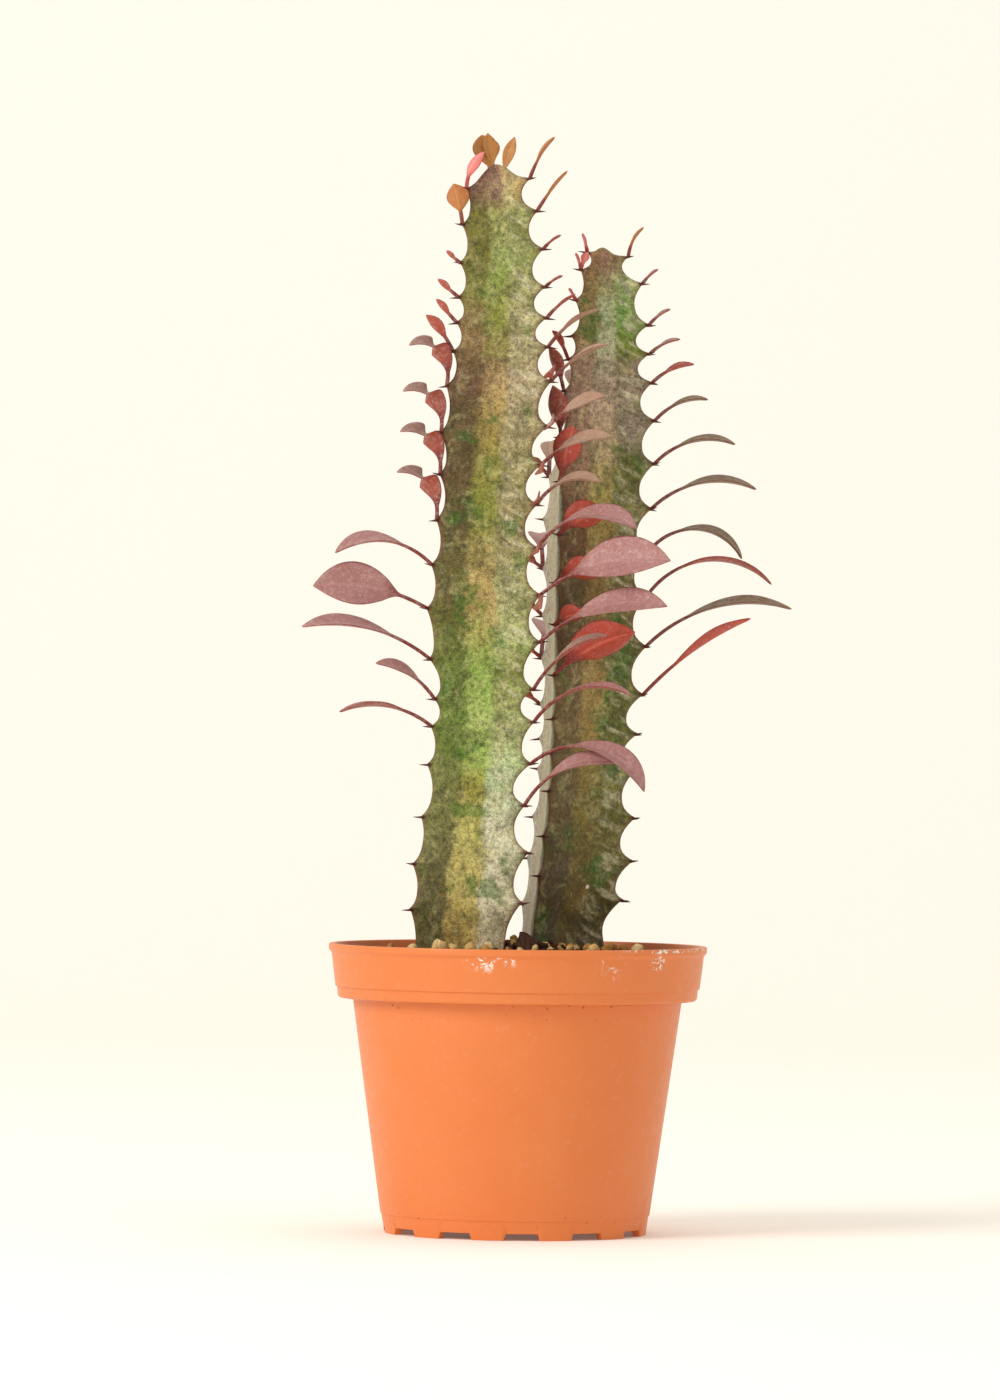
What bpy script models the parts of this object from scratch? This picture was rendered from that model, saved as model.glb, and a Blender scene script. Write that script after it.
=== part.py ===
"""A young two-stemmed, three-ribbed euphorbia growing in a round plastic nursery pot.

Metres, +Z up. The pot stands on Z = 0 and its front is -Y. Sizes below are in millimetres
from the pot's own upright axis, which the empty called pot_axis carries to its place, so that
the origin is under the middle of the whole plant. Angles are degrees, turned from +X to +Y.
"""

import math
from dataclasses import dataclass

import bmesh
import bpy
import numpy as np

MM = 0.001
GAP = 0.3
POT_AXIS_X = -7.9

# Pot
LIP_TOP = 80.0
LIP_RADIUS = 52.5
LIP_UNDERSIDE = 77.4
COLLAR_TOP_RADIUS = 51.7
PARTING_HEIGHT = 68.2
PARTING_RADIUS = 50.6
PARTING_STEP = 0.5
COLLAR_BOTTOM = 64.9
BODY_TOP_RADIUS = 45.6
BASE_LINE = 5.4
BASE_LINE_RADIUS = 37.4
FOOT_RADIUS = 36.5
FOOT_WIDTH = 2.0
WALL = 1.2
FLOOR_UNDERSIDE = 2.4
FOOT_COUNT = 12
NOTCH_DEPTH = 1.9
NOTCH_HALF_ANGLE = 7.6
FIRST_NOTCH = 3.0
DRAIN_COUNT = 6
DRAIN_RADIUS = 3.5
DRAIN_CIRCLE = 25.0
POT_STEPS = 40

# Soil
SOIL_EDGE = 74.4
MOUND_RISE = 4.8
MOUND_RADIUS = 24.0
SOIL_RIPPLE = 0.35
SOIL_RINGS = 9
SOIL_SIDES = 40

# One third of a stem's cross section: angle from a rib's crest and share of the rib's radius.
RIB_SECTION = ((0.0, 1.0), (9.0, 0.90), (30.0, 0.58), (60.0, 0.44), (90.0, 0.58), (111.0, 0.90))
SHOULDER_SHARE = 0.35
# From one tooth to the next: share of the way down and share of the tooth that still stands.
SCALLOP = ((0.0, 1.0), (0.2, 0.33), (0.5, 0.0), (0.8, 0.33))
STEM_FOOT = 54.0

# Leaf
LEAF_STATIONS = 9
LEAF_THICKNESS = 1.0
STALK_WIDTH = 1.7
STALK_SHARE = 0.30
LEAF_FOLD = 18.0
TIP_WIDTH = 0.6


@dataclass
class Rib:
    """One rib: its direction, how far its teeth stand out, and its teeth's heights from the top."""

    name: str
    angle: float
    tooth: float
    heights: tuple


@dataclass
class Stem:
    """A stem: its tip, its ribs, and rows of height, axis x, axis y, rib radius and turn."""

    name: str
    tip: float
    course: tuple
    ribs: tuple


@dataclass
class Leaf:
    """A leaf: its tooth, length, width, rise at the base, total droop, turn off its rib, and roll."""

    tooth: int
    length: float
    width: float
    rise: float
    droop: float
    turn: float = 0.0
    roll: float = 0.0


TALL_STEM = Stem(
    "stem_tall",
    tip=296.0,
    course=(
        (50.0, -16.5, -9.0, 11.0, 0.0),
        (84.0, -15.8, -9.0, 14.4, 0.0),
        (104.0, -14.1, -9.0, 15.2, 0.0),
        (122.0, -13.1, -9.0, 12.8, 0.0),
        (137.0, -11.4, -9.0, 13.8, 0.0),
        (147.0, -11.1, -9.0, 12.7, 0.0),
        (167.0, -11.3, -9.0, 15.2, 0.0),
        (192.0, -11.0, -9.0, 13.4, 0.0),
        (206.0, -10.4, -9.0, 12.7, 0.0),
        (220.0, -9.3, -9.0, 13.8, 0.0),
        (231.0, -8.1, -9.0, 14.0, 0.0),
        (246.0, -7.4, -9.0, 12.0, 0.0),
        (260.0, -7.3, -9.0, 10.9, 0.0),
        (276.0, -7.6, -9.0, 9.8, 0.0),
        (287.0, -8.3, -9.0, 8.0, 0.0),
        (297.0, -8.6, -9.0, 5.5, 0.0),
    ),
    ribs=(
        Rib("right", -30.0, 4.2,
            (292, 283, 272.5, 262, 253.5, 245.5, 236, 223.5, 213, 202, 190, 177, 164, 151,
             142, 130.5, 119, 106, 92)),
        Rib("back", 90.0, 3.4,
            (290, 280, 270, 260.5, 251.5, 242.5, 232, 220, 209, 197.5, 186, 173.5, 160, 148,
             138, 127, 115, 102.5, 89)),
        Rib("left", 210.0, 2.3,
            (289, 279, 268.5, 259, 252, 244, 234.5, 221.5, 210, 197.5, 185, 173, 159, 148,
             140.5, 130, 115.5, 102.5, 90)),
    ),
)

SHORT_STEM = Stem(
    "stem_short",
    tip=274.5,
    course=(
        (50.0, 9.5, 10.0, 11.5, 0.0),
        (74.0, 9.8, 10.0, 15.2, 0.0),
        (86.0, 10.0, 10.0, 13.7, 0.0),
        (98.0, 12.3, 10.0, 15.3, 0.0),
        (109.0, 13.4, 10.0, 15.0, 0.0),
        (123.0, 14.5, 10.0, 14.2, 0.0),
        (136.0, 15.0, 10.0, 13.9, 0.0),
        (154.0, 16.0, 10.0, 14.9, 0.0),
        (179.0, 16.3, 10.0, 15.0, 0.0),
        (208.0, 17.3, 10.0, 15.3, 0.0),
        (222.0, 18.6, 10.0, 14.4, -6.0),
        (234.0, 19.7, 10.0, 12.5, -12.0),
        (247.0, 21.0, 10.0, 10.2, -18.0),
        (259.0, 21.9, 10.0, 8.7, -22.0),
        (266.0, 21.7, 10.0, 6.9, -24.0),
        (270.0, 21.5, 10.0, 4.6, -24.0),
        (275.0, 21.3, 10.0, 2.4, -24.0),
    ),
    ribs=(
        Rib("right", 7.0, 4.0,
            (272, 264.5, 253, 245, 237, 226.5, 214.5, 202, 190, 177.5, 163.5, 150, 139, 129,
             115.5, 103.5, 92.5)),
        Rib("back", 127.0, 2.6,
            (270.5, 262, 252, 243, 233, 222, 211, 199, 185, 172, 160, 147, 137.5, 129,
             115.5, 104, 91)),
        Rib("front", 247.0, 3.0,
            (273, 268, 259.5, 249.5, 243, 234, 220.5, 209, 194, 181, 169, 155, 143, 133.5,
             123, 110.5, 99.5)),
    ),
)

# Leaves, rib by rib. The lowest teeth have lost theirs.
LEAVES = {
    ("stem_tall", "left"): (
        Leaf(1, 10.5, 6.5, 80, 10, -20, 60),
        Leaf(4, 7.0, 2.5, 48, 10, -20),
        Leaf(5, 10.5, 4.0, 62, 30, -20),
        Leaf(6, 17.0, 4.5, 104, 125, -25),
        Leaf(7, 17.5, 5.0, 100, 120, -25),
        Leaf(8, 17.5, 5.0, 98, 115, -25),
        Leaf(9, 17.5, 5.0, 96, 105, -25),
        Leaf(10, 28.5, 9.0, 46, 80, -18, 10),
        Leaf(11, 32.0, 11.8, 28, 36, -18, -68),
        Leaf(12, 37.5, 9.0, 38, 50, -15, 15),
        Leaf(13, 19.0, 6.5, 56, 52, -15, -30),
        Leaf(14, 26.5, 7.0, 38, 60, -15),
    ),
    ("stem_tall", "right"): (
        Leaf(0, 12.5, 4.0, 72, 30, 5),
        Leaf(1, 13.0, 3.0, 58, 15, 5),
        Leaf(4, 9.5, 3.0, 50, 25, 8),
        Leaf(5, 17.0, 4.5, 54, 38, 8),
        Leaf(6, 18.5, 5.0, 50, 38, 8),
        Leaf(7, 18.0, 6.0, 44, 36, 8, 30),
        Leaf(8, 21.5, 6.0, 44, 48, 8, 25),
        Leaf(9, 20.0, 6.5, 58, 80, 8),
        Leaf(10, 32.0, 9.0, 56, 92, 8, 20),
        Leaf(11, 39.5, 10.5, 38, 48, 8, 62),
        Leaf(12, 39.0, 9.5, 42, 54, 8, 35),
        Leaf(13, 26.0, 7.0, 60, 50, 8),
        Leaf(14, 31.0, 6.5, 55, 80, 8),
        Leaf(15, 38.0, 9.0, 40, 105, 10, 25),
        Leaf(16, 30.0, 8.0, 60, 72, 8),
    ),
    ("stem_tall", "back"): (
        Leaf(0, 14.5, 6.5, 82, 12, 55, 60),
        Leaf(5, 14.0, 4.5, 60, 40, 12),
        Leaf(7, 20.0, 6.0, 55, 55, 18),
        Leaf(9, 27.0, 7.5, 52, 65, 12),
        Leaf(11, 33.0, 9.0, 50, 60, 20),
        Leaf(13, 30.0, 9.0, 52, 75, 14),
    ),
    ("stem_short", "right"): (
        Leaf(0, 8.5, 2.0, 85, 45, 8),
        Leaf(2, 6.5, 2.2, 52, 30, 8),
        Leaf(3, 8.5, 2.6, 45, 38, 4),
        Leaf(4, 12.0, 3.6, 45, 42, 0),
        Leaf(5, 15.5, 5.0, 50, 56, -4, 10),
        Leaf(6, 23.5, 6.5, 48, 68, -8, 12),
        Leaf(7, 30.5, 7.5, 45, 68, -8, 12),
        Leaf(8, 30.0, 7.5, 54, 116, -10, 8),
        Leaf(9, 39.0, 8.0, 57, 102, -8, 5),
        Leaf(10, 43.0, 8.5, 46, 62, -8, 8),
        Leaf(11, 36.0, 8.0, 48, 24, -8, 5),
    ),
    ("stem_short", "front"): (
        Leaf(5, 12.0, 4.5, 68, 10, 10, 40),
        Leaf(6, 14.0, 7.0, 72, 20, 60, 35),
        Leaf(7, 14.0, 7.0, 60, 30, 80, 30),
        Leaf(8, 17.0, 8.5, 62, 40, 85, 40),
        Leaf(11, 26.0, 10.0, 42, 30, 95, 60),
    ),
    ("stem_short", "back"): (
        Leaf(4, 12.0, 4.5, 60, 35, -30),
        Leaf(6, 17.0, 5.5, 58, 45, -38),
        Leaf(8, 24.0, 7.0, 55, 60, -34),
        Leaf(10, 29.0, 8.5, 52, 65, -42),
    ),
}


def clear_scene():
    for thing in list(bpy.data.objects):
        bpy.data.objects.remove(thing, do_unlink=True)


def new_collection(name):
    collection = bpy.data.collections.new(name)
    bpy.context.scene.collection.children.link(collection)
    return collection


def principled(name, colour, roughness):
    material = bpy.data.materials.new(name)
    material.use_nodes = True
    shader = material.node_tree.nodes["Principled BSDF"]
    shader.inputs["Base Color"].default_value = (*colour, 1.0)
    shader.inputs["Roughness"].default_value = roughness
    shader.inputs["Metallic"].default_value = 0.0
    return material


def new_object(name, mesh, collection, parent, material=None):
    """Adds a mesh, whose points are in millimetres from the pot's axis, as an object."""
    mesh.transform(((MM, 0, 0, 0), (0, MM, 0, 0), (0, 0, MM, 0), (0, 0, 0, 1)))
    mesh.shade_smooth()
    mesh.set_sharp_from_angle(angle=math.radians(40))
    obj = bpy.data.objects.new(name, mesh)
    obj.parent = parent
    collection.objects.link(obj)
    if material:
        mesh.materials.append(material)
    return obj


def new_cutter(name, mesh, collection, parent):
    cutter = new_object(name, mesh, collection, parent)
    cutter.hide_render = True
    cutter.display_type = "WIRE"
    return cutter


def cut(obj, cutter):
    boolean = obj.modifiers.new(cutter.name, "BOOLEAN")
    boolean.operation = "DIFFERENCE"
    boolean.solver = "EXACT"
    boolean.object = cutter


def loft(name, rings):
    """A closed skin over rings of equal counts, each end closed by one face.

    Rings run along the piece and their points run anticlockwise seen from its far end.
    """
    rings = np.asarray(rings)
    count, around = rings.shape[:2]
    index = np.arange(count * around).reshape(count, around)
    low, high = index[:-1], index[1:]
    quads = np.stack([low, np.roll(low, -1, 1), np.roll(high, -1, 1), high], -1).reshape(-1, 4)
    faces = quads.tolist() + [index[0][::-1].tolist(), index[-1].tolist()]
    mesh = bpy.data.meshes.new(name)
    mesh.from_pydata(rings.reshape(-1, 3).tolist(), [], faces)
    return mesh


def smooth(heights, values, at):
    """Reads a cubic curve, level with its neighbours' chord at each point, at given heights."""
    heights, values = np.asarray(heights, float), np.asarray(values, float)
    slopes = np.gradient(values, heights)
    cell = np.clip(np.searchsorted(heights, at) - 1, 0, len(heights) - 2)
    span = heights[cell + 1] - heights[cell]
    t = np.clip((at - heights[cell]) / span, 0.0, 1.0)
    return (
        values[cell] * (2 * t**3 - 3 * t**2 + 1)
        + values[cell + 1] * (3 * t**2 - 2 * t**3)
        + span * slopes[cell] * (t**3 - 2 * t**2 + t)
        + span * slopes[cell + 1] * (t**3 - t**2)
    )


def inner_radius(height):
    """The pot's inside radius at a height above the table."""
    floor_top = FLOOR_UNDERSIDE + WALL
    heights = (floor_top, COLLAR_BOTTOM - 1.0, COLLAR_BOTTOM + 1.6, LIP_UNDERSIDE)
    radii = (
        BASE_LINE_RADIUS - WALL - 0.3,
        BODY_TOP_RADIUS - WALL,
        PARTING_RADIUS - PARTING_STEP - WALL,
        COLLAR_TOP_RADIUS - WALL,
    )
    return float(np.interp(height, heights, radii))


def pot_profile():
    """Radius and height, from the floor's inside up the inner wall, over the lip and down."""
    floor_top = FLOOR_UNDERSIDE + WALL
    inside = [
        (0.0, floor_top),
        (inner_radius(floor_top) - 1.0, floor_top),
        (inner_radius(floor_top), floor_top + 1.0),
        (inner_radius(COLLAR_BOTTOM - 1.0), COLLAR_BOTTOM - 1.0),
        (inner_radius(COLLAR_BOTTOM + 1.6), COLLAR_BOTTOM + 1.6),
        (inner_radius(LIP_UNDERSIDE), LIP_UNDERSIDE),
        (COLLAR_TOP_RADIUS - 0.9, LIP_TOP - 0.5),
    ]
    outside = [
        (COLLAR_TOP_RADIUS - 0.4, LIP_TOP),
        (LIP_RADIUS - 0.5, LIP_TOP),
        (LIP_RADIUS, LIP_TOP - 0.5),
        (LIP_RADIUS, LIP_TOP - 1.6),
        (COLLAR_TOP_RADIUS, LIP_UNDERSIDE),
        (PARTING_RADIUS, PARTING_HEIGHT),
        (PARTING_RADIUS - PARTING_STEP, PARTING_HEIGHT - 0.2),
        (PARTING_RADIUS - PARTING_STEP - 0.2, COLLAR_BOTTOM + 1.6),
        (PARTING_RADIUS - PARTING_STEP - 0.8, COLLAR_BOTTOM + 0.5),
        (PARTING_RADIUS - PARTING_STEP - 1.8, COLLAR_BOTTOM),
        (BODY_TOP_RADIUS + 0.2, COLLAR_BOTTOM),
        (BODY_TOP_RADIUS - 0.2, COLLAR_BOTTOM - 2.0),
        (BASE_LINE_RADIUS, BASE_LINE),
        (BASE_LINE_RADIUS - 0.3, BASE_LINE - 0.3),
        (FOOT_RADIUS, 0.0),
        (FOOT_RADIUS - FOOT_WIDTH, 0.0),
        (FOOT_RADIUS - FOOT_WIDTH, FLOOR_UNDERSIDE),
        (0.0, FLOOR_UNDERSIDE),
    ]
    return inside + outside


def notch_cutter_mesh():
    """Twelve wedges that open the foot ring, each wider at the table than at its top."""
    mesh = bpy.data.meshes.new("foot_notches")
    form = bmesh.new()
    for number in range(FOOT_COUNT):
        centre = FIRST_NOTCH + number * 360.0 / FOOT_COUNT
        corners = []
        for radius in (FOOT_RADIUS - FOOT_WIDTH - 1.0, FOOT_RADIUS + 2.0):
            for side, height in ((-1, -1.0), (1, -1.0), (1, NOTCH_DEPTH), (-1, NOTCH_DEPTH)):
                half = NOTCH_HALF_ANGLE + (0.8 if height < 0 else -0.8)
                angle = math.radians(centre + side * half)
                corners.append(form.verts.new(
                    (radius * math.cos(angle), radius * math.sin(angle), height)))
        inner, outer = corners[:4], corners[4:]
        form.faces.new(inner)
        form.faces.new(outer[::-1])
        for a in range(4):
            b = (a + 1) % 4
            form.faces.new((inner[a], outer[a], outer[b], inner[b]))
    bmesh.ops.recalc_face_normals(form, faces=form.faces)
    form.to_mesh(mesh)
    form.free()
    return mesh


def drain_cutter_mesh():
    mesh = bpy.data.meshes.new("drain_holes")
    form = bmesh.new()
    for number in range(DRAIN_COUNT):
        angle = math.radians(number * 360.0 / DRAIN_COUNT)
        hole = bmesh.ops.create_cone(form, cap_ends=True, segments=16, radius1=DRAIN_RADIUS,
                                     radius2=DRAIN_RADIUS, depth=10.0)
        place = (DRAIN_CIRCLE * math.cos(angle), DRAIN_CIRCLE * math.sin(angle), FLOOR_UNDERSIDE)
        bmesh.ops.translate(form, verts=hole["verts"], vec=place)
    form.to_mesh(mesh)
    form.free()
    return mesh


def make_pot(parts, cutters, axis):
    profile = [(radius, 0.0, height) for radius, height in pot_profile()]
    mesh = bpy.data.meshes.new("pot")
    mesh.from_pydata(profile, [(i, i + 1) for i in range(len(profile) - 1)], [])
    pot = new_object("pot", mesh, parts, axis, principled("pot_plastic", (0.62, 0.17, 0.09), 0.45))
    screw = pot.modifiers.new("turned", "SCREW")
    screw.steps = screw.render_steps = POT_STEPS
    screw.use_merge_vertices = True
    screw.merge_threshold = 0.00001
    screw.use_smooth_shade = True
    cut(pot, new_cutter("foot_notches", notch_cutter_mesh(), cutters, axis))
    cut(pot, new_cutter("drain_holes", drain_cutter_mesh(), cutters, axis))


def soil_top(x, y):
    """The soil's height: a low mound in the middle with gentle ripples."""
    radius = np.hypot(x, y)
    mound = MOUND_RISE * np.exp(-((radius / MOUND_RADIUS) ** 2))
    ripple = SOIL_RIPPLE * np.sin(x * 0.31 + 1.3) * np.cos(y * 0.27 - 0.4)
    return SOIL_EDGE + mound + ripple


def make_soil(parts, axis):
    angles = np.radians(np.arange(SOIL_SIDES) * 360.0 / SOIL_SIDES)
    circle = np.stack([np.cos(angles), np.sin(angles)], -1)
    bottom = FLOOR_UNDERSIDE + WALL + GAP
    rings = []
    for height in (bottom, bottom + 1.0, COLLAR_BOTTOM - 1.0, COLLAR_BOTTOM + 1.6):
        radius = inner_radius(height) - GAP - (1.0 if height == bottom else 0.0)
        rings.append(np.column_stack([circle * radius, np.full(SOIL_SIDES, height)]))
    rim = inner_radius(SOIL_EDGE) - GAP
    for share in np.linspace(1.0, 0.04, SOIL_RINGS):
        flat = circle * rim * share
        rings.append(np.column_stack([flat, soil_top(flat[:, 0], flat[:, 1])]))
    return new_object("soil", loft("soil", rings), parts, axis,
                      principled("potting_soil", (0.06, 0.035, 0.02), 0.95))


def rib_heights(stem, rib):
    """A rib's row heights, from the stem's tip down: tip rows, teeth and scallops, and foot."""
    teeth = np.array(rib.heights, float)
    shares = np.array([share for share, _ in SCALLOP])
    between = teeth[:-1, None] + (teeth[1:] - teeth[:-1])[:, None] * shares
    head = stem.tip - (stem.tip - teeth[0]) * np.array([0.06, 0.5])
    tail = (teeth[-1], teeth[-1] - 3.0, 74.0, 64.0, STEM_FOOT + 3.0, STEM_FOOT)
    return np.concatenate([head, between.ravel(), tail])


def rib_standing(rib):
    """How much of its tooth a rib shows at each of those rows."""
    shares = [standing for _, standing in SCALLOP] * (len(rib.heights) - 1)
    return np.array([0.0, 0.0, *shares, 1.0, 0.2, 0.0, 0.0, 0.0, 0.0])


def stem_axis(stem, heights):
    """Axis x, axis y, rib radius and turn of a stem at given heights."""
    rows = np.array(stem.course)
    return [smooth(rows[:, 0], rows[:, column], heights) for column in (1, 2, 3, 4)]


def stem_rings(stem, growth=0.0):
    """Rings of the three-ribbed section from the foot up. growth widens it for a socket."""
    head_share = np.array([0.35, 0.8])
    columns = []
    for number, rib in enumerate(stem.ribs):
        following = stem.ribs[(number + 1) % 3]
        for angle, share in RIB_SECTION:
            blend = angle / 120.0
            heights = rib_heights(stem, rib) * (1 - blend) + rib_heights(stem, following) * blend
            x, y, radius, turn = stem_axis(stem, heights)
            reach = radius * share + growth
            reach[:2] *= head_share
            reach[-1] *= 0.7
            if angle == 0.0:
                reach = reach + rib.tooth * rib_standing(rib)
            elif share > 0.8:
                near = rib if angle < 60 else following
                reach = reach + SHOULDER_SHARE * near.tooth * rib_standing(near)
            around = np.radians(rib.angle + angle + turn)
            heights = heights - (growth if growth else 0.0) * (heights < STEM_FOOT + 1.0)
            columns.append(np.stack([x + reach * np.cos(around), y + reach * np.sin(around),
                                     heights], -1))
    return np.stack(columns, 1)[::-1]


def tooth_tip(stem, rib, number):
    """A tooth's point and the direction, in degrees, in which it stands out."""
    height = np.array([float(rib.heights[number])])
    x, y, radius, turn = (value[0] for value in stem_axis(stem, height))
    direction = rib.angle + turn
    around = math.radians(direction)
    reach = radius + rib.tooth
    return np.array([x + reach * math.cos(around), y + reach * math.sin(around), height[0]]), direction


def make_stem(stem, parts, cutters, axis, soil, material):
    new_object(stem.name, loft(stem.name, stem_rings(stem)), parts, axis, material)
    socket = loft(stem.name + "_socket", stem_rings(stem, GAP))
    cut(soil, new_cutter(stem.name + "_socket", socket, cutters, axis))


def blade_width(share, leaf):
    """A leaf's width along its length: a thin stalk, then a blade that is widest past its middle."""
    along = np.clip((share - STALK_SHARE) / (1.0 - STALK_SHARE), 0.0, 1.0)
    blade = leaf.width * np.sin(math.pi * along**1.15) ** 0.8
    return np.maximum(blade, np.where(share < 0.9, min(STALK_WIDTH, leaf.width * 0.6), TIP_WIDTH))


def leaf_rings(leaf, tip, direction):
    """Rings of four points, folded like a shallow keel, along a stalk that arches over."""
    share = np.linspace(0.0, 1.0, LEAF_STATIONS)
    azimuth = math.radians(direction + leaf.turn)
    climb = np.radians(leaf.rise - leaf.droop * share)
    along = np.stack([math.cos(azimuth) * np.cos(climb), math.sin(azimuth) * np.cos(climb),
                      np.sin(climb)], -1)
    steps = (along[1:] + along[:-1]) / 2 * leaf.length / (LEAF_STATIONS - 1)
    out = np.array([math.cos(math.radians(direction)), math.sin(math.radians(direction)), 0.4])
    line = tip + out * (GAP + 0.7) + np.vstack([np.zeros(3), np.cumsum(steps, axis=0)])
    level = np.array([-math.sin(azimuth), math.cos(azimuth), 0.0])
    above = np.cross(along, level)
    roll = np.radians(leaf.roll * np.clip(share / 0.5, 0.0, 1.0))[:, None]
    side = level * np.cos(roll) + above * np.sin(roll)
    face = above * np.cos(roll) - level * np.sin(roll)
    width = blade_width(share, leaf)[:, None] / 2
    lift = width * math.tan(math.radians(LEAF_FOLD))
    half = LEAF_THICKNESS / 2
    return np.stack([line + side * width + face * lift, line + face * half,
                     line - side * width + face * lift, line - face * half], 1)


def make_leaves(stem, rib, parts, axis, material):
    for leaf in LEAVES[(stem.name, rib.name)]:
        tip, direction = tooth_tip(stem, rib, leaf.tooth)
        name = f"leaf_{stem.name[5:]}_{rib.name}_{leaf.tooth + 1:02d}"
        new_object(name, loft(name, leaf_rings(leaf, tip, direction)), parts, axis, material)


def stub_rings(growth=0.0):
    """A short leaning knob, dried and narrowing, that stands in the soil beside the short stem."""
    sides = np.radians(np.arange(8) * 45.0)
    rings = []
    for height, radius, lean in ((74.0, 2.0, 0.0), (77.0, 2.7, 0.0), (80.0, 2.4, -0.5),
                                 (82.5, 1.7, -1.4), (84.0, 0.7, -2.2)):
        reach = radius + growth
        rings.append(np.stack([3.2 + lean + reach * np.cos(sides), -15.0 + reach * np.sin(sides),
                               np.full(8, height - growth * (height < 75.0))], -1))
    return rings


def make_stub(parts, cutters, axis, soil):
    material = principled("dried_stem", (0.05, 0.02, 0.012), 0.8)
    new_object("dried_stub", loft("dried_stub", stub_rings()), parts, axis, material)
    socket = loft("dried_stub_socket", stub_rings(GAP))
    cut(soil, new_cutter("dried_stub_socket", socket, cutters, axis))


def main():
    clear_scene()
    parts = new_collection("potted_euphorbia")
    cutters = new_collection("cutters")
    axis = bpy.data.objects.new("pot_axis", None)
    axis.location = (POT_AXIS_X * MM, 0.0, 0.0)
    parts.objects.link(axis)
    make_pot(parts, cutters, axis)
    soil = make_soil(parts, axis)
    stem_skin = principled("stem_skin", (0.22, 0.24, 0.10), 0.55)
    leaf_skin = principled("leaf_skin", (0.36, 0.11, 0.10), 0.45)
    for stem in (TALL_STEM, SHORT_STEM):
        make_stem(stem, parts, cutters, axis, soil, stem_skin)
        for rib in stem.ribs:
            make_leaves(stem, rib, parts, axis, leaf_skin)
    make_stub(parts, cutters, axis, soil)


main()
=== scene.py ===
"""A two-stemmed, three-ribbed euphorbia in a plastic nursery pot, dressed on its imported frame.

Lengths in the tables are millimetres from the pot's upright axis, with Z up from the table and
-Y towards the front. Angles are degrees, turned from +X to +Y. Meshes are placed in metres.
"""

import logging
import math
from dataclasses import dataclass
from enum import Enum

import bpy
import numpy as np
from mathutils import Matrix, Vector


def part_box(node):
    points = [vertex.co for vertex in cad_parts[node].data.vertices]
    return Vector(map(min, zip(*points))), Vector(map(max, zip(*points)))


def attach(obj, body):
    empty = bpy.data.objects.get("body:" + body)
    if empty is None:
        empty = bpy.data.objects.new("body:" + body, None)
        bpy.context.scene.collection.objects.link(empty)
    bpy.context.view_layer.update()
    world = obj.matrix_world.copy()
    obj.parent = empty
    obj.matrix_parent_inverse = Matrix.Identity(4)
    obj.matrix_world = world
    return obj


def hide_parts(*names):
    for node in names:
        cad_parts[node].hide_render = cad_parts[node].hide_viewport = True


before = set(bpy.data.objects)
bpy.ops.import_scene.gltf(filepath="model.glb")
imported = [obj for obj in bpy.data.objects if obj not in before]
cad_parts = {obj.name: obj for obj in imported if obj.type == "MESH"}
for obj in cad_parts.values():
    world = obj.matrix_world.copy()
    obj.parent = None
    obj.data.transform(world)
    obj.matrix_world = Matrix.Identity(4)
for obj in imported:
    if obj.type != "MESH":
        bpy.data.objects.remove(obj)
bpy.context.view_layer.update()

LOG = logging.getLogger("potted_euphorbia")
MM = 0.001
BODY = "root"
Array = np.ndarray
Colour = tuple[float, float, float]

# One rib gap across, in degrees from a rib's crest to the next one, and the steps to its middle.
GAP_ANGLE = 120.0
HALF_GAP = GAP_ANGLE / 2
CREST_STEPS = 10
# Rows up a rib: above its first tooth, from each tooth to the next, and below its last tooth.
HEAD_ROWS = 7
ROWS_PER_TOOTH = 14
TAIL_ROWS = 26
# How far along each row between two teeth lies: half a cosine, so that rows crowd at the teeth.
TOOTH_SHARES = 0.5 - 0.5 * np.cos(np.pi * np.arange(ROWS_PER_TOOTH) / ROWS_PER_TOOTH)


# ---------------------------------------------------------------- numbers and curves


def linear(colour: Colour) -> tuple[float, float, float, float]:
    """Turns a display colour into the linear colour that a shader socket takes.

    Args:
        colour: red, green and blue as seen on a screen, each 0 to 1.

    Returns:
        The linear colour with alpha 1.
    """
    toe, power = 0.04045, 2.4
    parts = [c / 12.92 if c <= toe else ((c + 0.055) / 1.055) ** power for c in colour]
    return (*parts, 1.0)


def smooth(heights: Array, values: Array, at: Array) -> Array:
    """Reads a cubic curve through a table, whose slope at each row is its neighbours' slope.

    Args:
        heights: the rows' places, rising.
        values: the rows' values.
        at: where to read the curve.

    Returns:
        The curve's values there.
    """
    slopes = np.gradient(values, heights)
    cell = np.clip(np.searchsorted(heights, at) - 1, 0, len(heights) - 2)
    span = heights[cell + 1] - heights[cell]
    t = np.clip((at - heights[cell]) / span, 0.0, 1.0)
    return (
        values[cell] * (2 * t**3 - 3 * t**2 + 1)
        + values[cell + 1] * (3 * t**2 - 2 * t**3)
        + span * slopes[cell] * (t**3 - 2 * t**2 + t)
        + span * slopes[cell + 1] * (t**3 - t**2)
    )


def waves(x: Array, y: Array, size: float, seed: int, count: int = 14) -> Array:
    """Uneven ground: the mean of sine waves that run in random directions, about size apart.

    Args:
        x: first coordinates.
        y: second coordinates.
        size: mean distance between crests.
        seed: picks the directions and phases.
        count: how many waves are summed.

    Returns:
        Heights between about -1 and 1.
    """
    draw = np.random.default_rng(seed)
    total = np.zeros(np.broadcast(x, y).shape)
    for angle, phase, stretch in zip(draw.uniform(0, math.tau, count),
                                     draw.uniform(0, math.tau, count),
                                     draw.uniform(0.6, 1.7, count)):
        run = x * math.cos(angle) + y * math.sin(angle)
        total += np.sin(run * math.tau * stretch / size + phase)
    return total / math.sqrt(count)


def off_angle(degrees: Array, middle: float) -> Array:
    """How far angles in degrees lie from a middle one, from -180 to 180."""
    return (degrees - middle + 180) % 360 - 180


# ---------------------------------------------------------------- meshes


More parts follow.
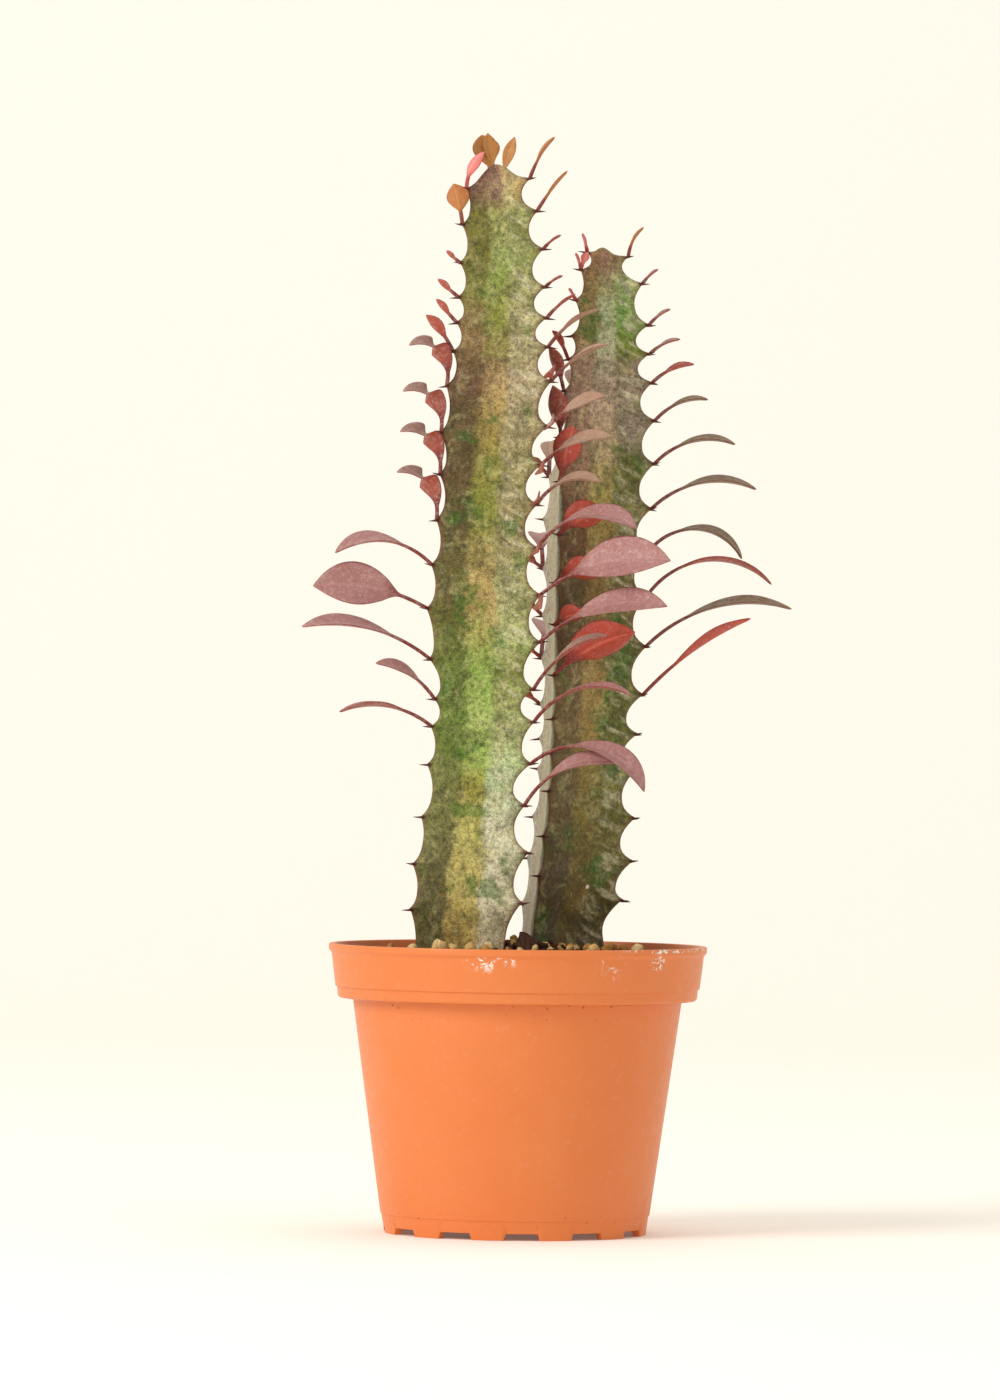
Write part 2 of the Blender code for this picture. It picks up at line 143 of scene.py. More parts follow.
class Skin:
    """Points, faces and painted values of one piece, gathered patch by patch in millimetres."""

    def __init__(self) -> None:
        """Starts empty."""
        self.points: list[Array] = []
        self.faces: list[list[int]] = []
        self.values: dict[str, list[Array]] = {}
        self.count = 0

    def _add(self, points: Array, values: dict[str, Array]) -> int:
        """Stores points with their painted values and returns the first one's number."""
        first = self.count
        self.points.append(points)
        self.count += len(points)
        for key, value in values.items():
            self.values.setdefault(key, []).append(np.broadcast_to(value, len(points)))
        return first

    def tube(self, rings: Array, **values: Array) -> None:
        """Adds a closed skin over rings, each end closed by a fan of triangles.

        Args:
            rings: points (ring, round, 3), turning anticlockwise seen from the last ring.
            values: numbers painted on the points, each an array that spreads over (ring, round).
        """
        count, around = rings.shape[:2]
        ends = np.stack([rings[0].mean(0), rings[-1].mean(0)])
        painted = {}
        for key, value in values.items():
            spread = np.broadcast_to(value, (count, around))
            painted[key] = np.concatenate([spread.ravel(), [spread[0].mean(), spread[-1].mean()]])
        first = self._add(np.vstack([rings.reshape(-1, 3), ends]), painted)
        index = np.arange(count * around).reshape(count, around) + first
        low, high = index[:-1], index[1:]
        quads = np.stack([low, np.roll(low, -1, 1), np.roll(high, -1, 1), high], -1)
        self.faces += quads.reshape(-1, 4).tolist()
        start, end = first + count * around, first + count * around + 1
        head, tail = index[0], index[-1]
        self.faces += np.stack([np.roll(head, -1), head, np.full(around, start)], -1).tolist()
        self.faces += np.stack([tail, np.roll(tail, -1), np.full(around, end)], -1).tolist()

    def copies(self, shapes: Array, triangles: Array, **values: Array) -> None:
        """Adds many small closed shapes that share one list of triangles.

        Args:
            shapes: points (copy, point, 3).
            triangles: point numbers (triangle, 3) of one shape.
            values: one number for each copy.
        """
        count, size = shapes.shape[:2]
        painted = {key: np.repeat(value, size) for key, value in values.items()}
        first = self._add(shapes.reshape(-1, 3), painted)
        shift = first + np.arange(count)[:, None, None] * size
        self.faces += (triangles[None] + shift).reshape(-1, 3).tolist()

    def piece(self, name: str, material: bpy.types.Material, slot: str,
              *nodes: str) -> bpy.types.Object:
        """Makes the object, smooth and riding on the body, in place of CAD nodes.

        Args:
            name: the piece's name.
            material: its finish.
            slot: a material slot's name, not used.
            nodes: CAD nodes that it stands for.

        Returns:
            The object.
        """
        mesh = bpy.data.meshes.new(name)
        points = np.vstack(self.points) * MM + np.array([*pot_axis(), 0.0])
        mesh.from_pydata(points.tolist(), [], self.faces)
        for key, parts in self.values.items():
            layer = mesh.attributes.new(key, "FLOAT", "POINT")
            layer.data.foreach_set("value", np.concatenate(parts).astype(np.float32))
        mesh.shade_smooth()
        mesh.materials.append(material)
        obj = bpy.data.objects.new(name, mesh)
        bpy.context.scene.collection.objects.link(obj)
        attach(obj, BODY)
        if nodes:
            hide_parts(*nodes)
        LOG.info("%s: %d points, %d faces", name, self.count, len(self.faces))
        return obj


def pot_axis() -> tuple[float, float]:
    """Where the pot's upright axis crosses the table, in metres."""
    low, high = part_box("pot")
    return (low.x + high.x) / 2, (low.y + high.y) / 2


# ---------------------------------------------------------------- shader recipes


class Wiring:
    """Adds nodes to one tree and links them, so that a finish reads as a recipe."""

    def __init__(self, tree: bpy.types.NodeTree) -> None:
        """Takes the tree that the nodes go in."""
        self.tree = tree

    def node(self, kind: str, inputs: dict | None = None, **settings: object) -> bpy.types.Node:
        """Adds a node.

        Args:
            kind: its type without the ShaderNode prefix.
            inputs: socket names or numbers, each with a value or a socket to link from.
            settings: properties of the node.

        Returns:
            The node.
        """
        made = self.tree.nodes.new("ShaderNode" + kind)
        for key, value in settings.items():
            setattr(made, key, value)
        for key, value in (inputs or {}).items():
            self.feed(made.inputs[key], value)
        return made

    def feed(self, socket: bpy.types.NodeSocket, value: object) -> None:
        """Links a socket to an output, or sets its value."""
        if isinstance(value, bpy.types.NodeSocket):
            self.tree.links.new(value, socket)
        else:
            socket.default_value = value

    def painted(self, name: str) -> bpy.types.NodeSocket:
        """A number painted on the mesh."""
        return self.node("Attribute", attribute_name=name).outputs["Fac"]

    def place(self) -> bpy.types.NodeSocket:
        """The point's place in the object's own coordinates."""
        return self.node("TexCoord").outputs["Object"]

    def math(self, operation: str, first: object, second: object = 0.0,
             clamp: bool = False) -> bpy.types.NodeSocket:
        """One sum of two numbers."""
        made = self.node("Math", {0: first, 1: second}, operation=operation, use_clamp=clamp)
        return made.outputs[0]

    def span(self, value: object, low: float, high: float, start: float = 0.0,
             end: float = 1.0) -> bpy.types.NodeSocket:
        """Maps low to high onto start to end with a soft step, clamped."""
        made = self.node("MapRange", {"Value": value, "From Min": low, "From Max": high,
                                      "To Min": start, "To Max": end}, interpolation_type="SMOOTHSTEP")
        return made.outputs["Result"]

    def mix(self, factor: object, first: object, second: object,
            blend: str = "MIX") -> bpy.types.NodeSocket:
        """Blends two colours."""
        made = self.node("Mix", {0: factor, 6: first, 7: second}, data_type="RGBA", blend_type=blend)
        return made.outputs[2]

    def noise(self, vector: object, scale: float, detail: float = 4.0,
              rough: float = 0.6) -> bpy.types.NodeSocket:
        """Cloudy noise from 0 to 1."""
        made = self.node("TexNoise", {"Vector": vector, "Scale": scale, "Detail": detail,
                                      "Roughness": rough})
        return made.outputs["Fac"]

    def ramp(self, factor: object, stops: list[tuple[float, Colour]]) -> bpy.types.NodeSocket:
        """A colour ramp.

        Args:
            factor: what reads it, 0 to 1.
            stops: places from 0 to 1 with display colours, rising.

        Returns:
            Its colour.
        """
        made = self.node("ValToRGB", {"Fac": factor})
        elements = made.color_ramp.elements
        for _ in range(len(stops) - 2):
            elements.new(0.5)
        for element, (place, colour) in zip(elements, stops):
            element.position = place
            element.color = linear(colour)
        return made.outputs["Color"]

    def group(self, tree: bpy.types.NodeTree, inputs: dict) -> bpy.types.Node:
        """Places a node group with its own values."""
        made = self.tree.nodes.new("ShaderNodeGroup")
        made.node_tree = tree
        for key, value in inputs.items():
            self.feed(made.inputs[key], value)
        return made

    def overlay(self, skin: object, tree: bpy.types.NodeTree, place: object, amount: float,
                colour: Colour, **values: float) -> bpy.types.NodeSocket:
        """Lays a colour over a skin wherever a group's mask shows.

        Args:
            skin: the colour so far.
            tree: a group that puts out a mask.
            place: where the group is read.
            amount: how much of the colour shows where the mask is full.
            colour: the display colour to lay.
            values: the group's other inputs.

        Returns:
            The new colour.
        """
        mask = self.group(tree, {"Place": place, **values}).outputs["Mask"]
        return self.mix(self.math("MULTIPLY", mask, amount), skin, linear(colour))

    def sway(self, place: object, scale: float, detail: float, rough: float,
             reach: float) -> bpy.types.NodeSocket:
        """Cloudy noise about zero, with its reach from end to end."""
        about_zero = self.math("SUBTRACT", self.noise(place, scale, detail, rough), 0.5)
        return self.math("MULTIPLY", about_zero, reach)


def new_group(name: str, takes: dict[str, float | None],
              gives: tuple[str, ...]) -> tuple[Wiring, bpy.types.Node, bpy.types.Node]:
    """Starts a shader node group.

    Args:
        name: the effect's name.
        takes: inputs with their usual values, None for a vector.
        gives: names of the numbers that it puts out.

    Returns:
        Its wiring, its input node and its output node.
    """
    tree = bpy.data.node_groups.new(name, "ShaderNodeTree")
    for key, value in takes.items():
        kind = "NodeSocketVector" if value is None else "NodeSocketFloat"
        socket = tree.interface.new_socket(key, in_out="INPUT", socket_type=kind)
        if value is not None:
            socket.default_value = value
    for key in gives:
        tree.interface.new_socket(key, in_out="OUTPUT", socket_type="NodeSocketFloat")
    return Wiring(tree), tree.nodes.new("NodeGroupInput"), tree.nodes.new("NodeGroupOutput")


def make_grain() -> bpy.types.NodeTree:
    """Fine skin grain: two sizes of noise, as a height and as a shade about one half."""
    w, takes, gives = new_group("skin_grain", {"Place": None, "Scale": 900.0}, ("Height", "Shade"))
    place, scale = takes.outputs["Place"], takes.outputs["Scale"]
    fine = w.noise(place, 1.0, 3.0, 0.7)
    coarse = w.noise(place, 1.0, 2.0, 0.5)
    w.feed(fine.node.inputs["Scale"], scale)
    w.feed(coarse.node.inputs["Scale"], w.math("MULTIPLY", scale, 0.35))
    both = w.math("ADD", w.math("MULTIPLY", fine, 0.6), w.math("MULTIPLY", coarse, 0.4))
    w.feed(gives.inputs["Height"], both)
    w.feed(gives.inputs["Shade"], w.span(both, 0.32, 0.68))
    return w.tree


def make_blotches() -> bpy.types.NodeTree:
    """Soft-edged patches: noise whose own place is pushed about by larger noise, then cut."""
    w, takes, gives = new_group("blotches", {"Place": None, "Scale": 120.0, "Cut": 0.5, "Edge": 0.08},
                                ("Mask",))
    scale = takes.outputs["Scale"]
    push = w.node("TexNoise", {"Vector": takes.outputs["Place"], "Detail": 2.0})
    w.feed(push.inputs["Scale"], w.math("MULTIPLY", scale, 0.6))
    bent = w.node("VectorMath", {0: push.outputs["Color"], 1: (0.012, 0.012, 0.012)},
                  operation="MULTIPLY").outputs[0]
    place = w.node("VectorMath", {0: takes.outputs["Place"], 1: bent}, operation="ADD").outputs[0]
    cloud = w.noise(place, 1.0, 6.0, 0.62)
    w.feed(cloud.node.inputs["Scale"], scale)
    low = w.math("SUBTRACT", takes.outputs["Cut"], takes.outputs["Edge"])
    high = w.math("ADD", takes.outputs["Cut"], takes.outputs["Edge"])
    mask = w.node("MapRange", {"Value": cloud, "From Min": low, "From Max": high},
                  interpolation_type="SMOOTHSTEP").outputs["Result"]
    w.feed(gives.inputs["Mask"], mask)
    return w.tree


def make_specks() -> bpy.types.NodeTree:
    """Scattered round specks: points nearer than a size to some of the cells' middles."""
    w, takes, gives = new_group("specks", {"Place": None, "Scale": 160.0, "Size": 0.1, "Share": 0.2},
                                ("Mask",))
    cells = w.node("TexVoronoi", {"Vector": takes.outputs["Place"], "Scale": takes.outputs["Scale"]},
                   feature="F1")
    near = w.math("LESS_THAN", cells.outputs["Distance"], takes.outputs["Size"])
    parts = w.node("SeparateColor", {0: cells.outputs["Color"]})
    chosen = w.math("LESS_THAN", parts.outputs[0], takes.outputs["Share"])
    w.feed(gives.inputs["Mask"], w.math("MULTIPLY", near, chosen))
    return w.tree


class Effects:
    """The shared node groups, built once."""

    def __init__(self) -> None:
        """Builds each group."""
        self.grain = make_grain()
        self.blotches = make_blotches()
        self.specks = make_specks()


def new_finish(name: str, gloss: float) -> tuple[bpy.types.Material, Wiring, bpy.types.Node]:
    """Starts a material.

    Args:
        name: its name.
        gloss: the shader's specular level.

    Returns:
        The material, its wiring and its shader.
    """
    material = bpy.data.materials.new(name)
    material.use_nodes = True
    shader = material.node_tree.nodes["Principled BSDF"]
    shader.inputs["Specular IOR Level"].default_value = gloss
    return material, Wiring(material.node_tree), shader


def connect(w: Wiring, shader: bpy.types.Node, colour: object, rough: object, height: object,
            depth: float, strength: float) -> None:
    """Feeds a finish's colour, roughness and relief into its shader.

    Args:
        w: the material's wiring.
        shader: its shader.
        colour: its colour.
        rough: its roughness.
        height: a number from 0 to 1.
        depth: how many metres high 1 stands.
        strength: share of the bump that shows.
    """
    bump = w.node("Bump", {"Height": height, "Distance": depth, "Strength": strength})
    for socket, value in (("Base Color", colour), ("Roughness", rough),
                          ("Normal", bump.outputs["Normal"])):
        w.feed(shader.inputs[socket], value)


# ---------------------------------------------------------------- finishes


@dataclass(frozen=True)
class StemFinish:
    """Mottled succulent skin. Each band list holds heights in mm with a display colour."""

    name: str
    middle: tuple[tuple[float, Colour], ...]
    # painted shade: colours of each face's first side, where shade fell across the hollow face
    shaded_side: tuple[tuple[float, Colour], ...]
    # colours of each face's second side; on the tall stem, painted light where light fell
    pale_side: tuple[tuple[float, Colour], ...]
    lit_face: Colour
    patch: Colour = (0.24, 0.40, 0.09)
    low: float = 75.0
    high: float = 300.0

    def bands(self, w: Wiring, rows: tuple[tuple[float, Colour], ...],
              height: object) -> bpy.types.NodeSocket:
        """A ramp up the stem through one list of bands."""
        span = self.high - self.low
        return w.ramp(height, [((z - self.low) / span, colour) for z, colour in rows])

    def build(self, effects: Effects) -> bpy.types.Material:
        """Makes the material.

        The skin's colour is read from three ramps up the stem, one for each side of a face and
        one for its middle, blended across the face; the side ramps hold painted shade and light
        that fall across a hollow face. Blotches, slanting streaks that fan from the teeth, grain
        and specks lie over it, and the teeth's tips turn dark brown.

        Args:
            effects: the shared groups.

        Returns:
            The material.
        """
        material, w, shader = new_finish(self.name, 0.32)
        place = w.place()
        across, crest, tooth = w.painted("across"), w.painted("crest"), w.painted("tooth")
        rise = w.painted("height")
        level = w.math("ADD", rise, w.sway(place, 80.0, 8.0, 0.7, 30.0))
        height = w.node("MapRange", {"Value": level, "From Min": self.low, "From Max": self.high})
        height = height.outputs["Result"]
        side = w.math("ADD", across, w.sway(place, 130.0, 8.0, 0.75, 0.50))
        # painted shade and light across each face: the first side takes the darker ramp, the second side
        # the pale one
        skin = w.mix(w.span(side, 0.18, 0.32), self.bands(w, self.shaded_side, height),
                     self.bands(w, self.middle, height))
        skin = w.mix(w.span(side, 0.68, 0.80), skin, self.bands(w, self.pale_side, height))
        streak = self.streaks(w, place)
        fan = w.math("MULTIPLY", w.span(crest, 0.75, 0.2), w.span(crest, 0.0, 0.1))
        pale = w.math("MULTIPLY", w.math("MULTIPLY", fan, w.span(streak, 0.45, 0.66)),
                      w.span(across, 0.5, 0.85, 0.06, 0.60))
        skin = w.mix(pale, skin, linear((0.80, 0.77, 0.66)))
        for amount, colour, scale, cut, edge in ((0.50, (0.27, 0.27, 0.10), 150.0, 0.56, 0.09),
                                                 (0.62, self.patch, 95.0, 0.60, 0.05),
                                                 (0.30, (0.80, 0.76, 0.56), 210.0, 0.58, 0.10)):
            skin = w.overlay(skin, effects.blotches, place, amount, colour,
                             Scale=scale, Cut=cut, Edge=edge)
        # painted highlight: the whole face marked lit takes the pale lit colour, standing in for light on
        # it
        skin = w.mix(w.math("MULTIPLY", w.painted("lit"), 0.92), skin, linear(self.lit_face))
        grain = w.group(effects.grain, {"Place": place, "Scale": 2300.0})
        shade = w.ramp(grain.outputs["Shade"],
                       [(0.0, (0.36, 0.34, 0.31)), (1.0, (0.90, 0.90, 0.88))])
        skin = w.mix(0.80, skin, shade, "OVERLAY")
        fuller = w.node("HueSaturation", {"Hue": 0.506, "Saturation": 1.04, "Color": skin})
        skin = fuller.outputs["Color"]
        edge = w.math("MULTIPLY", w.span(crest, 0.075, 0.0), 0.45)
        skin = w.mix(edge, skin, linear((0.50, 0.34, 0.24)))
        skin = w.mix(w.span(tooth, 0.30, 0.80), skin, linear((0.30, 0.13, 0.09)))
        skin = w.overlay(skin, effects.specks, place, 0.9, (0.95, 0.93, 0.90),
                         Scale=95.0, Size=0.055, Share=0.10)
        relief = w.math("ADD", w.math("MULTIPLY", grain.outputs["Height"], 0.5),
                        w.math("MULTIPLY", streak, 0.5))
        rough = w.span(grain.outputs["Shade"], 0.0, 1.0, 0.48, 0.64)
        connect(w, shader, skin, rough, relief, 0.0007, 0.55)
        return material

    def streaks(self, w: Wiring, place: object) -> bpy.types.NodeSocket:
        """Noise drawn out along lines that climb from a face's middle to its crests."""
        crest, rise = w.painted("crest"), w.painted("height")
        slant = w.math("ADD", rise, w.math("MULTIPLY", crest, -9.0))
        along = w.node("CombineXYZ", {0: w.math("MULTIPLY", crest, 2.2),
                                      1: w.math("MULTIPLY", slant, 0.42),
                                      2: w.math("MULTIPLY", w.painted("face"), 7.0)}).outputs[0]
        return w.noise(along, 1.0, 2.5, 0.5)


@dataclass(frozen=True)
class LeafFinish:
    """Leaf skin: display colours of its upper side, underside, stalk and midrib."""

    name: str
    upper: Colour
    under: Colour
    stalk: Colour
    vein: Colour
    bloom: float = 0.3

    def build(self, effects: Effects) -> bpy.types.Material:
        """Makes the material.

        The two sides differ, the stalk's colour runs into the blade's foot and margin, the
        midrib is lighter, and a powdery bloom, fine speckles and small dents lie over them.

        Args:
            effects: the shared groups.

        Returns:
            The material.
        """
        material, w, shader = new_finish(self.name, 0.40)
        place = w.place()
        along, across, upper = w.painted("along"), w.painted("across"), w.painted("upper")
        off = w.math("ABSOLUTE", across)
        skin = w.mix(w.span(upper, 0.35, 0.65), linear(self.under), linear(self.upper))
        blotch = w.group(effects.blotches, {"Place": place, "Scale": 260.0, "Cut": 0.52, "Edge": 0.16})
        warm = w.mix(0.5, linear(self.stalk), linear(self.upper))
        skin = w.mix(w.math("MULTIPLY", blotch.outputs["Mask"], 0.38), skin, warm)
        line = w.math("MULTIPLY", w.span(off, 0.14, 0.02), w.span(along, 0.15, 0.45, 0.0, 0.45))
        skin = w.mix(line, skin, linear(self.vein))
        margin = w.math("MULTIPLY", w.span(off, 0.86, 1.0), 0.55)
        skin = w.mix(margin, skin, linear(self.stalk))
        foot = w.span(w.math("ADD", along, w.math("MULTIPLY", w.noise(place, 300.0), 0.12)), 0.50, 0.28)
        skin = w.mix(foot, skin, linear(self.stalk))
        grain = w.group(effects.grain, {"Place": place, "Scale": 2200.0})
        dusty = w.math("MULTIPLY", w.span(grain.outputs["Shade"], 0.45, 0.9), self.bloom)
        skin = w.mix(dusty, skin, linear((0.87, 0.78, 0.74)))
        skin = w.overlay(skin, effects.specks, place, 0.25, (0.86, 0.78, 0.74),
                         Scale=420.0, Size=0.16, Share=0.14)
        relief = w.math("ADD", grain.outputs["Height"], w.math("MULTIPLY", off, 0.4))
        rough = w.span(blotch.outputs["Mask"], 0.0, 1.0, 0.40, 0.54)
        connect(w, shader, skin, rough, relief, 0.0005, 0.5)
        return material


@dataclass(frozen=True)
class PotFinish:
    """Moulded terracotta-coloured plastic with lime marks, soil specks and faint scuffs."""

    colour: Colour = (0.87, 0.475, 0.23)
    worn: Colour = (0.91, 0.55, 0.33)
    lime: Colour = (0.97, 0.94, 0.90)
    dirt: Colour = (0.20, 0.11, 0.07)

    def build(self, effects: Effects) -> bpy.types.Material:
        """Makes the material.

        Args:
            effects: the shared groups.

        Returns:
            The material.
        """
        material, w, shader = new_finish("pot_plastic_moulded", 0.42)
        place = w.place()
        skin = w.overlay(linear(self.colour), effects.blotches, place, 0.28, self.worn,
                         Scale=28.0, Cut=0.5, Edge=0.25)
        skin = w.overlay(skin, effects.blotches, place, 0.05, self.lime,
                         Scale=420.0, Cut=0.64, Edge=0.08)
        lime = w.group(effects.blotches, {"Place": place, "Scale": 420.0, "Cut": 0.56, "Edge": 0.03})
        crust = w.math("MULTIPLY", lime.outputs["Mask"], w.span(w.painted("lime"), 0.12, 0.45))
        skin = w.mix(crust, skin, linear(self.lime))
        crumbs = w.group(effects.specks, {"Place": place, "Scale": 520.0, "Size": 0.22, "Share": 0.30})
        soiled = w.math("MULTIPLY", crumbs.outputs["Mask"], w.painted("dirt"))
        skin = w.mix(w.math("MULTIPLY", soiled, 0.85), skin, linear(self.dirt))
        # the pot's inside is painted darker, unevenly by noise
        inside_darkening = w.math("MULTIPLY", w.painted("inside"), w.span(w.noise(place, 160.0), 0.35, 0.7, 0.15, 0.6))
        skin = w.mix(inside_darkening, skin, linear((0.52, 0.28, 0.17)))
        grain = w.group(effects.grain, {"Place": place, "Scale": 1100.0})
        rough = w.math("ADD", w.span(grain.outputs["Shade"], 0.0, 1.0, 0.36, 0.50),
                       w.math("MULTIPLY", crust, 0.4))
        relief = w.math("ADD", w.math("MULTIPLY", grain.outputs["Height"], 0.35),
                        w.math("MULTIPLY", crust, 1.0))
        connect(w, shader, skin, rough, relief, 0.0002, 0.5)
        return material


@dataclass(frozen=True)
class EarthFinish:
    """Crumbly stuff in a range of display colours, picked by the painted tone and by noise."""

    name: str
    tones: tuple[Colour, ...]
    scale: float
    depth: float

    def build(self, effects: Effects) -> bpy.types.Material:
        """Makes the material.

        Args:
            effects: the shared groups.

        Returns:
            The material.
        """
        material, w, shader = new_finish(self.name, 0.25)
        place = w.place()
        tone = w.math("ADD", w.painted("tone"), w.sway(place, self.scale, 6.0, 0.7, 0.9), True)
        last = len(self.tones) - 1
        skin = w.ramp(tone, [(i / last, colour) for i, colour in enumerate(self.tones)])
        grain = w.group(effects.grain, {"Place": place, "Scale": self.scale * 5.0})
        shade = w.ramp(grain.outputs["Shade"], [(0.0, (0.55, 0.53, 0.50)), (1.0, (1.0, 1.0, 1.0))])
        rough = w.span(grain.outputs["Shade"], 0.0, 1.0, 0.72, 0.96)
        connect(w, shader, w.mix(0.6, skin, shade, "MULTIPLY"), rough, grain.outputs["Height"],
                self.depth, 0.9)
        return material


@dataclass(frozen=True)
class HornFinish:
    """Hard dark spines and dried bits: brown-red at the foot, darker at the tip."""

    name: str
    foot: Colour
    tip: Colour
    roughness: float = 0.45

    def build(self, effects: Effects) -> bpy.types.Material:
        """Makes the material.

        Args:
            effects: the shared groups.

        Returns:
            The material.
        """
        material, w, shader = new_finish(self.name, 0.25)
        place = w.place()
        grain = w.group(effects.grain, {"Place": place, "Scale": 1800.0})
        skin = w.mix(w.painted("along"), linear(self.foot), linear(self.tip))
        skin = w.mix(w.math("MULTIPLY", grain.outputs["Shade"], 0.35), skin, linear(self.tip))
        rough = w.span(grain.outputs["Shade"], 0.0, 1.0, self.roughness, self.roughness + 0.2)
        connect(w, shader, skin, rough, grain.outputs["Height"], 0.0004, 0.6)
        return material


POTTING_MIX = EarthFinish("potting_mix", scale=260.0, depth=0.0012, tones=(
    (0.15, 0.085, 0.05), (0.25, 0.14, 0.08), (0.38, 0.22, 0.13), (0.52, 0.33, 0.20)))
GRIT_STONE = EarthFinish("grit_stone", scale=420.0, depth=0.0006, tones=(
    (0.62, 0.42, 0.20), (0.82, 0.60, 0.31), (0.92, 0.74, 0.46), (0.97, 0.86, 0.64)))

TALL_SKIN = StemFinish(
    "tall_stem_skin",
    middle=(
        (78, (0.66, 0.54, 0.32)), (100, (0.76, 0.70, 0.44)), (112, (0.72, 0.68, 0.42)),
        (123, (0.61, 0.56, 0.26)), (132, (0.60, 0.67, 0.35)), (144, (0.67, 0.72, 0.43)),
        (156, (0.55, 0.64, 0.31)), (166, (0.61, 0.62, 0.34)), (178, (0.68, 0.57, 0.38)),
        (192, (0.57, 0.53, 0.29)), (206, (0.50, 0.51, 0.22)), (220, (0.58, 0.51, 0.28)),
        (233, (0.66, 0.54, 0.38)), (243, (0.58, 0.47, 0.34)), (252, (0.54, 0.54, 0.26)),
        (264, (0.54, 0.58, 0.29)), (274, (0.60, 0.63, 0.39)), (282, (0.58, 0.53, 0.33)),
        (287, (0.54, 0.42, 0.36)), (297, (0.62, 0.45, 0.38)),
    ),
    # painted shade on each face's first side
    shaded_side=(
        (78, (0.37, 0.33, 0.18)), (100, (0.40, 0.37, 0.22)), (116, (0.47, 0.47, 0.27)),
        (134, (0.40, 0.45, 0.19)), (150, (0.42, 0.50, 0.22)), (164, (0.42, 0.44, 0.20)),
        (178, (0.40, 0.36, 0.19)), (196, (0.36, 0.30, 0.17)), (214, (0.38, 0.30, 0.19)),
        (236, (0.42, 0.30, 0.23)), (250, (0.54, 0.43, 0.30)), (262, (0.48, 0.48, 0.22)),
        (277, (0.44, 0.42, 0.19)), (288, (0.52, 0.38, 0.33)),
    ),
    pale_side=(
        # painted light on each face's second side
        (78, (0.78, 0.71, 0.60)), (100, (0.76, 0.74, 0.63)), (116, (0.77, 0.76, 0.65)),
        (128, (0.66, 0.72, 0.54)), (140, (0.66, 0.68, 0.46)), (152, (0.50, 0.53, 0.24)),
        (165, (0.62, 0.66, 0.42)), (180, (0.62, 0.60, 0.42)), (194, (0.56, 0.50, 0.34)),
        (210, (0.58, 0.53, 0.38)), (226, (0.64, 0.57, 0.44)), (240, (0.68, 0.60, 0.49)),
        (252, (0.66, 0.62, 0.45)), (268, (0.52, 0.55, 0.30)), (282, (0.60, 0.60, 0.38)),
        (292, (0.66, 0.53, 0.37)),
    ),
    lit_face=(0.76, 0.72, 0.58),
)

SHORT_SKIN = StemFinish(
    "short_stem_skin",
    middle=(
        (78, (0.36, 0.29, 0.16)), (96, (0.47, 0.38, 0.20)), (112, (0.46, 0.40, 0.19)),
        (128, (0.52, 0.44, 0.23)), (142, (0.60, 0.50, 0.30)), (160, (0.61, 0.50, 0.32)),
        (178, (0.51, 0.39, 0.22)), (192, (0.55, 0.45, 0.26)), (206, (0.66, 0.59, 0.34)),
        (220, (0.72, 0.62, 0.50)), (236, (0.71, 0.60, 0.55)), (246, (0.67, 0.66, 0.54)),
        (258, (0.65, 0.68, 0.52)), (267, (0.64, 0.60, 0.43)), (273, (0.62, 0.47, 0.40)),
    ),
    # painted shade on each face's first side
    shaded_side=(
        (78, (0.30, 0.25, 0.17)), (110, (0.34, 0.27, 0.15)), (140, (0.46, 0.37, 0.24)),
        (176, (0.36, 0.25, 0.15)), (200, (0.46, 0.30, 0.20)), (222, (0.64, 0.50, 0.42)),
        (238, (0.60, 0.46, 0.41)), (250, (0.57, 0.46, 0.32)), (264, (0.54, 0.45, 0.28)),
        (273, (0.60, 0.45, 0.34)),
    ),
    pale_side=(
        (78, (0.28, 0.23, 0.11)), (96, (0.36, 0.32, 0.14)), (112, (0.43, 0.40, 0.18)),
        (130, (0.42, 0.42, 0.19)), (154, (0.35, 0.36, 0.14)), (176, (0.44, 0.37, 0.22)),
        (198, (0.42, 0.40, 0.21)), (213, (0.39, 0.40, 0.16)), (222, (0.58, 0.52, 0.45)),
        (237, (0.58, 0.50, 0.44)), (245, (0.44, 0.47, 0.15)), (256, (0.46, 0.58, 0.30)),
        (266, (0.60, 0.62, 0.42)), (273, (0.60, 0.46, 0.36)),
    ),
    lit_face=(0.95, 0.91, 0.83),
)


class Tint(Enum):
    """The leaf colours on this plant, from the youngest to the fullest grown."""

    CORAL = LeafFinish("leaf_coral", (0.94, 0.60, 0.56), (0.92, 0.50, 0.48), (0.70, 0.24, 0.22),
                       (0.96, 0.74, 0.70), 0.12)
    OCHRE = LeafFinish("leaf_ochre", (0.72, 0.48, 0.22), (0.72, 0.44, 0.22), (0.50, 0.22, 0.15),
                       (0.76, 0.58, 0.30), 0.10)
    OLIVE = LeafFinish("leaf_olive", (0.47, 0.38, 0.26), (0.52, 0.38, 0.28), (0.46, 0.19, 0.16),
                       (0.66, 0.56, 0.44), 0.16)
    TAN = LeafFinish("leaf_tan", (0.68, 0.54, 0.44), (0.66, 0.50, 0.41), (0.46, 0.18, 0.15),
                     (0.74, 0.58, 0.48), 0.22)
    RUSSET = LeafFinish("leaf_russet", (0.60, 0.46, 0.41), (0.68, 0.29, 0.22), (0.46, 0.17, 0.14),
                        (0.66, 0.44, 0.36), 0.24)
    MAUVE = LeafFinish("leaf_mauve", (0.66, 0.46, 0.44), (0.66, 0.36, 0.33), (0.48, 0.17, 0.15),
                       (0.72, 0.52, 0.50), 0.26)
    SCARLET = LeafFinish("leaf_scarlet", (0.56, 0.36, 0.28), (0.74, 0.27, 0.20), (0.52, 0.15, 0.12),
                         (0.95, 0.50, 0.42), 0.12)


# ---------------------------------------------------------------- stems


@dataclass(frozen=True)
class Rib:
    """One rib: direction, how far its teeth stand out, and its teeth's heights from the top."""

    name: str
    angle: float
    tooth: float
    heights: tuple[float, ...]


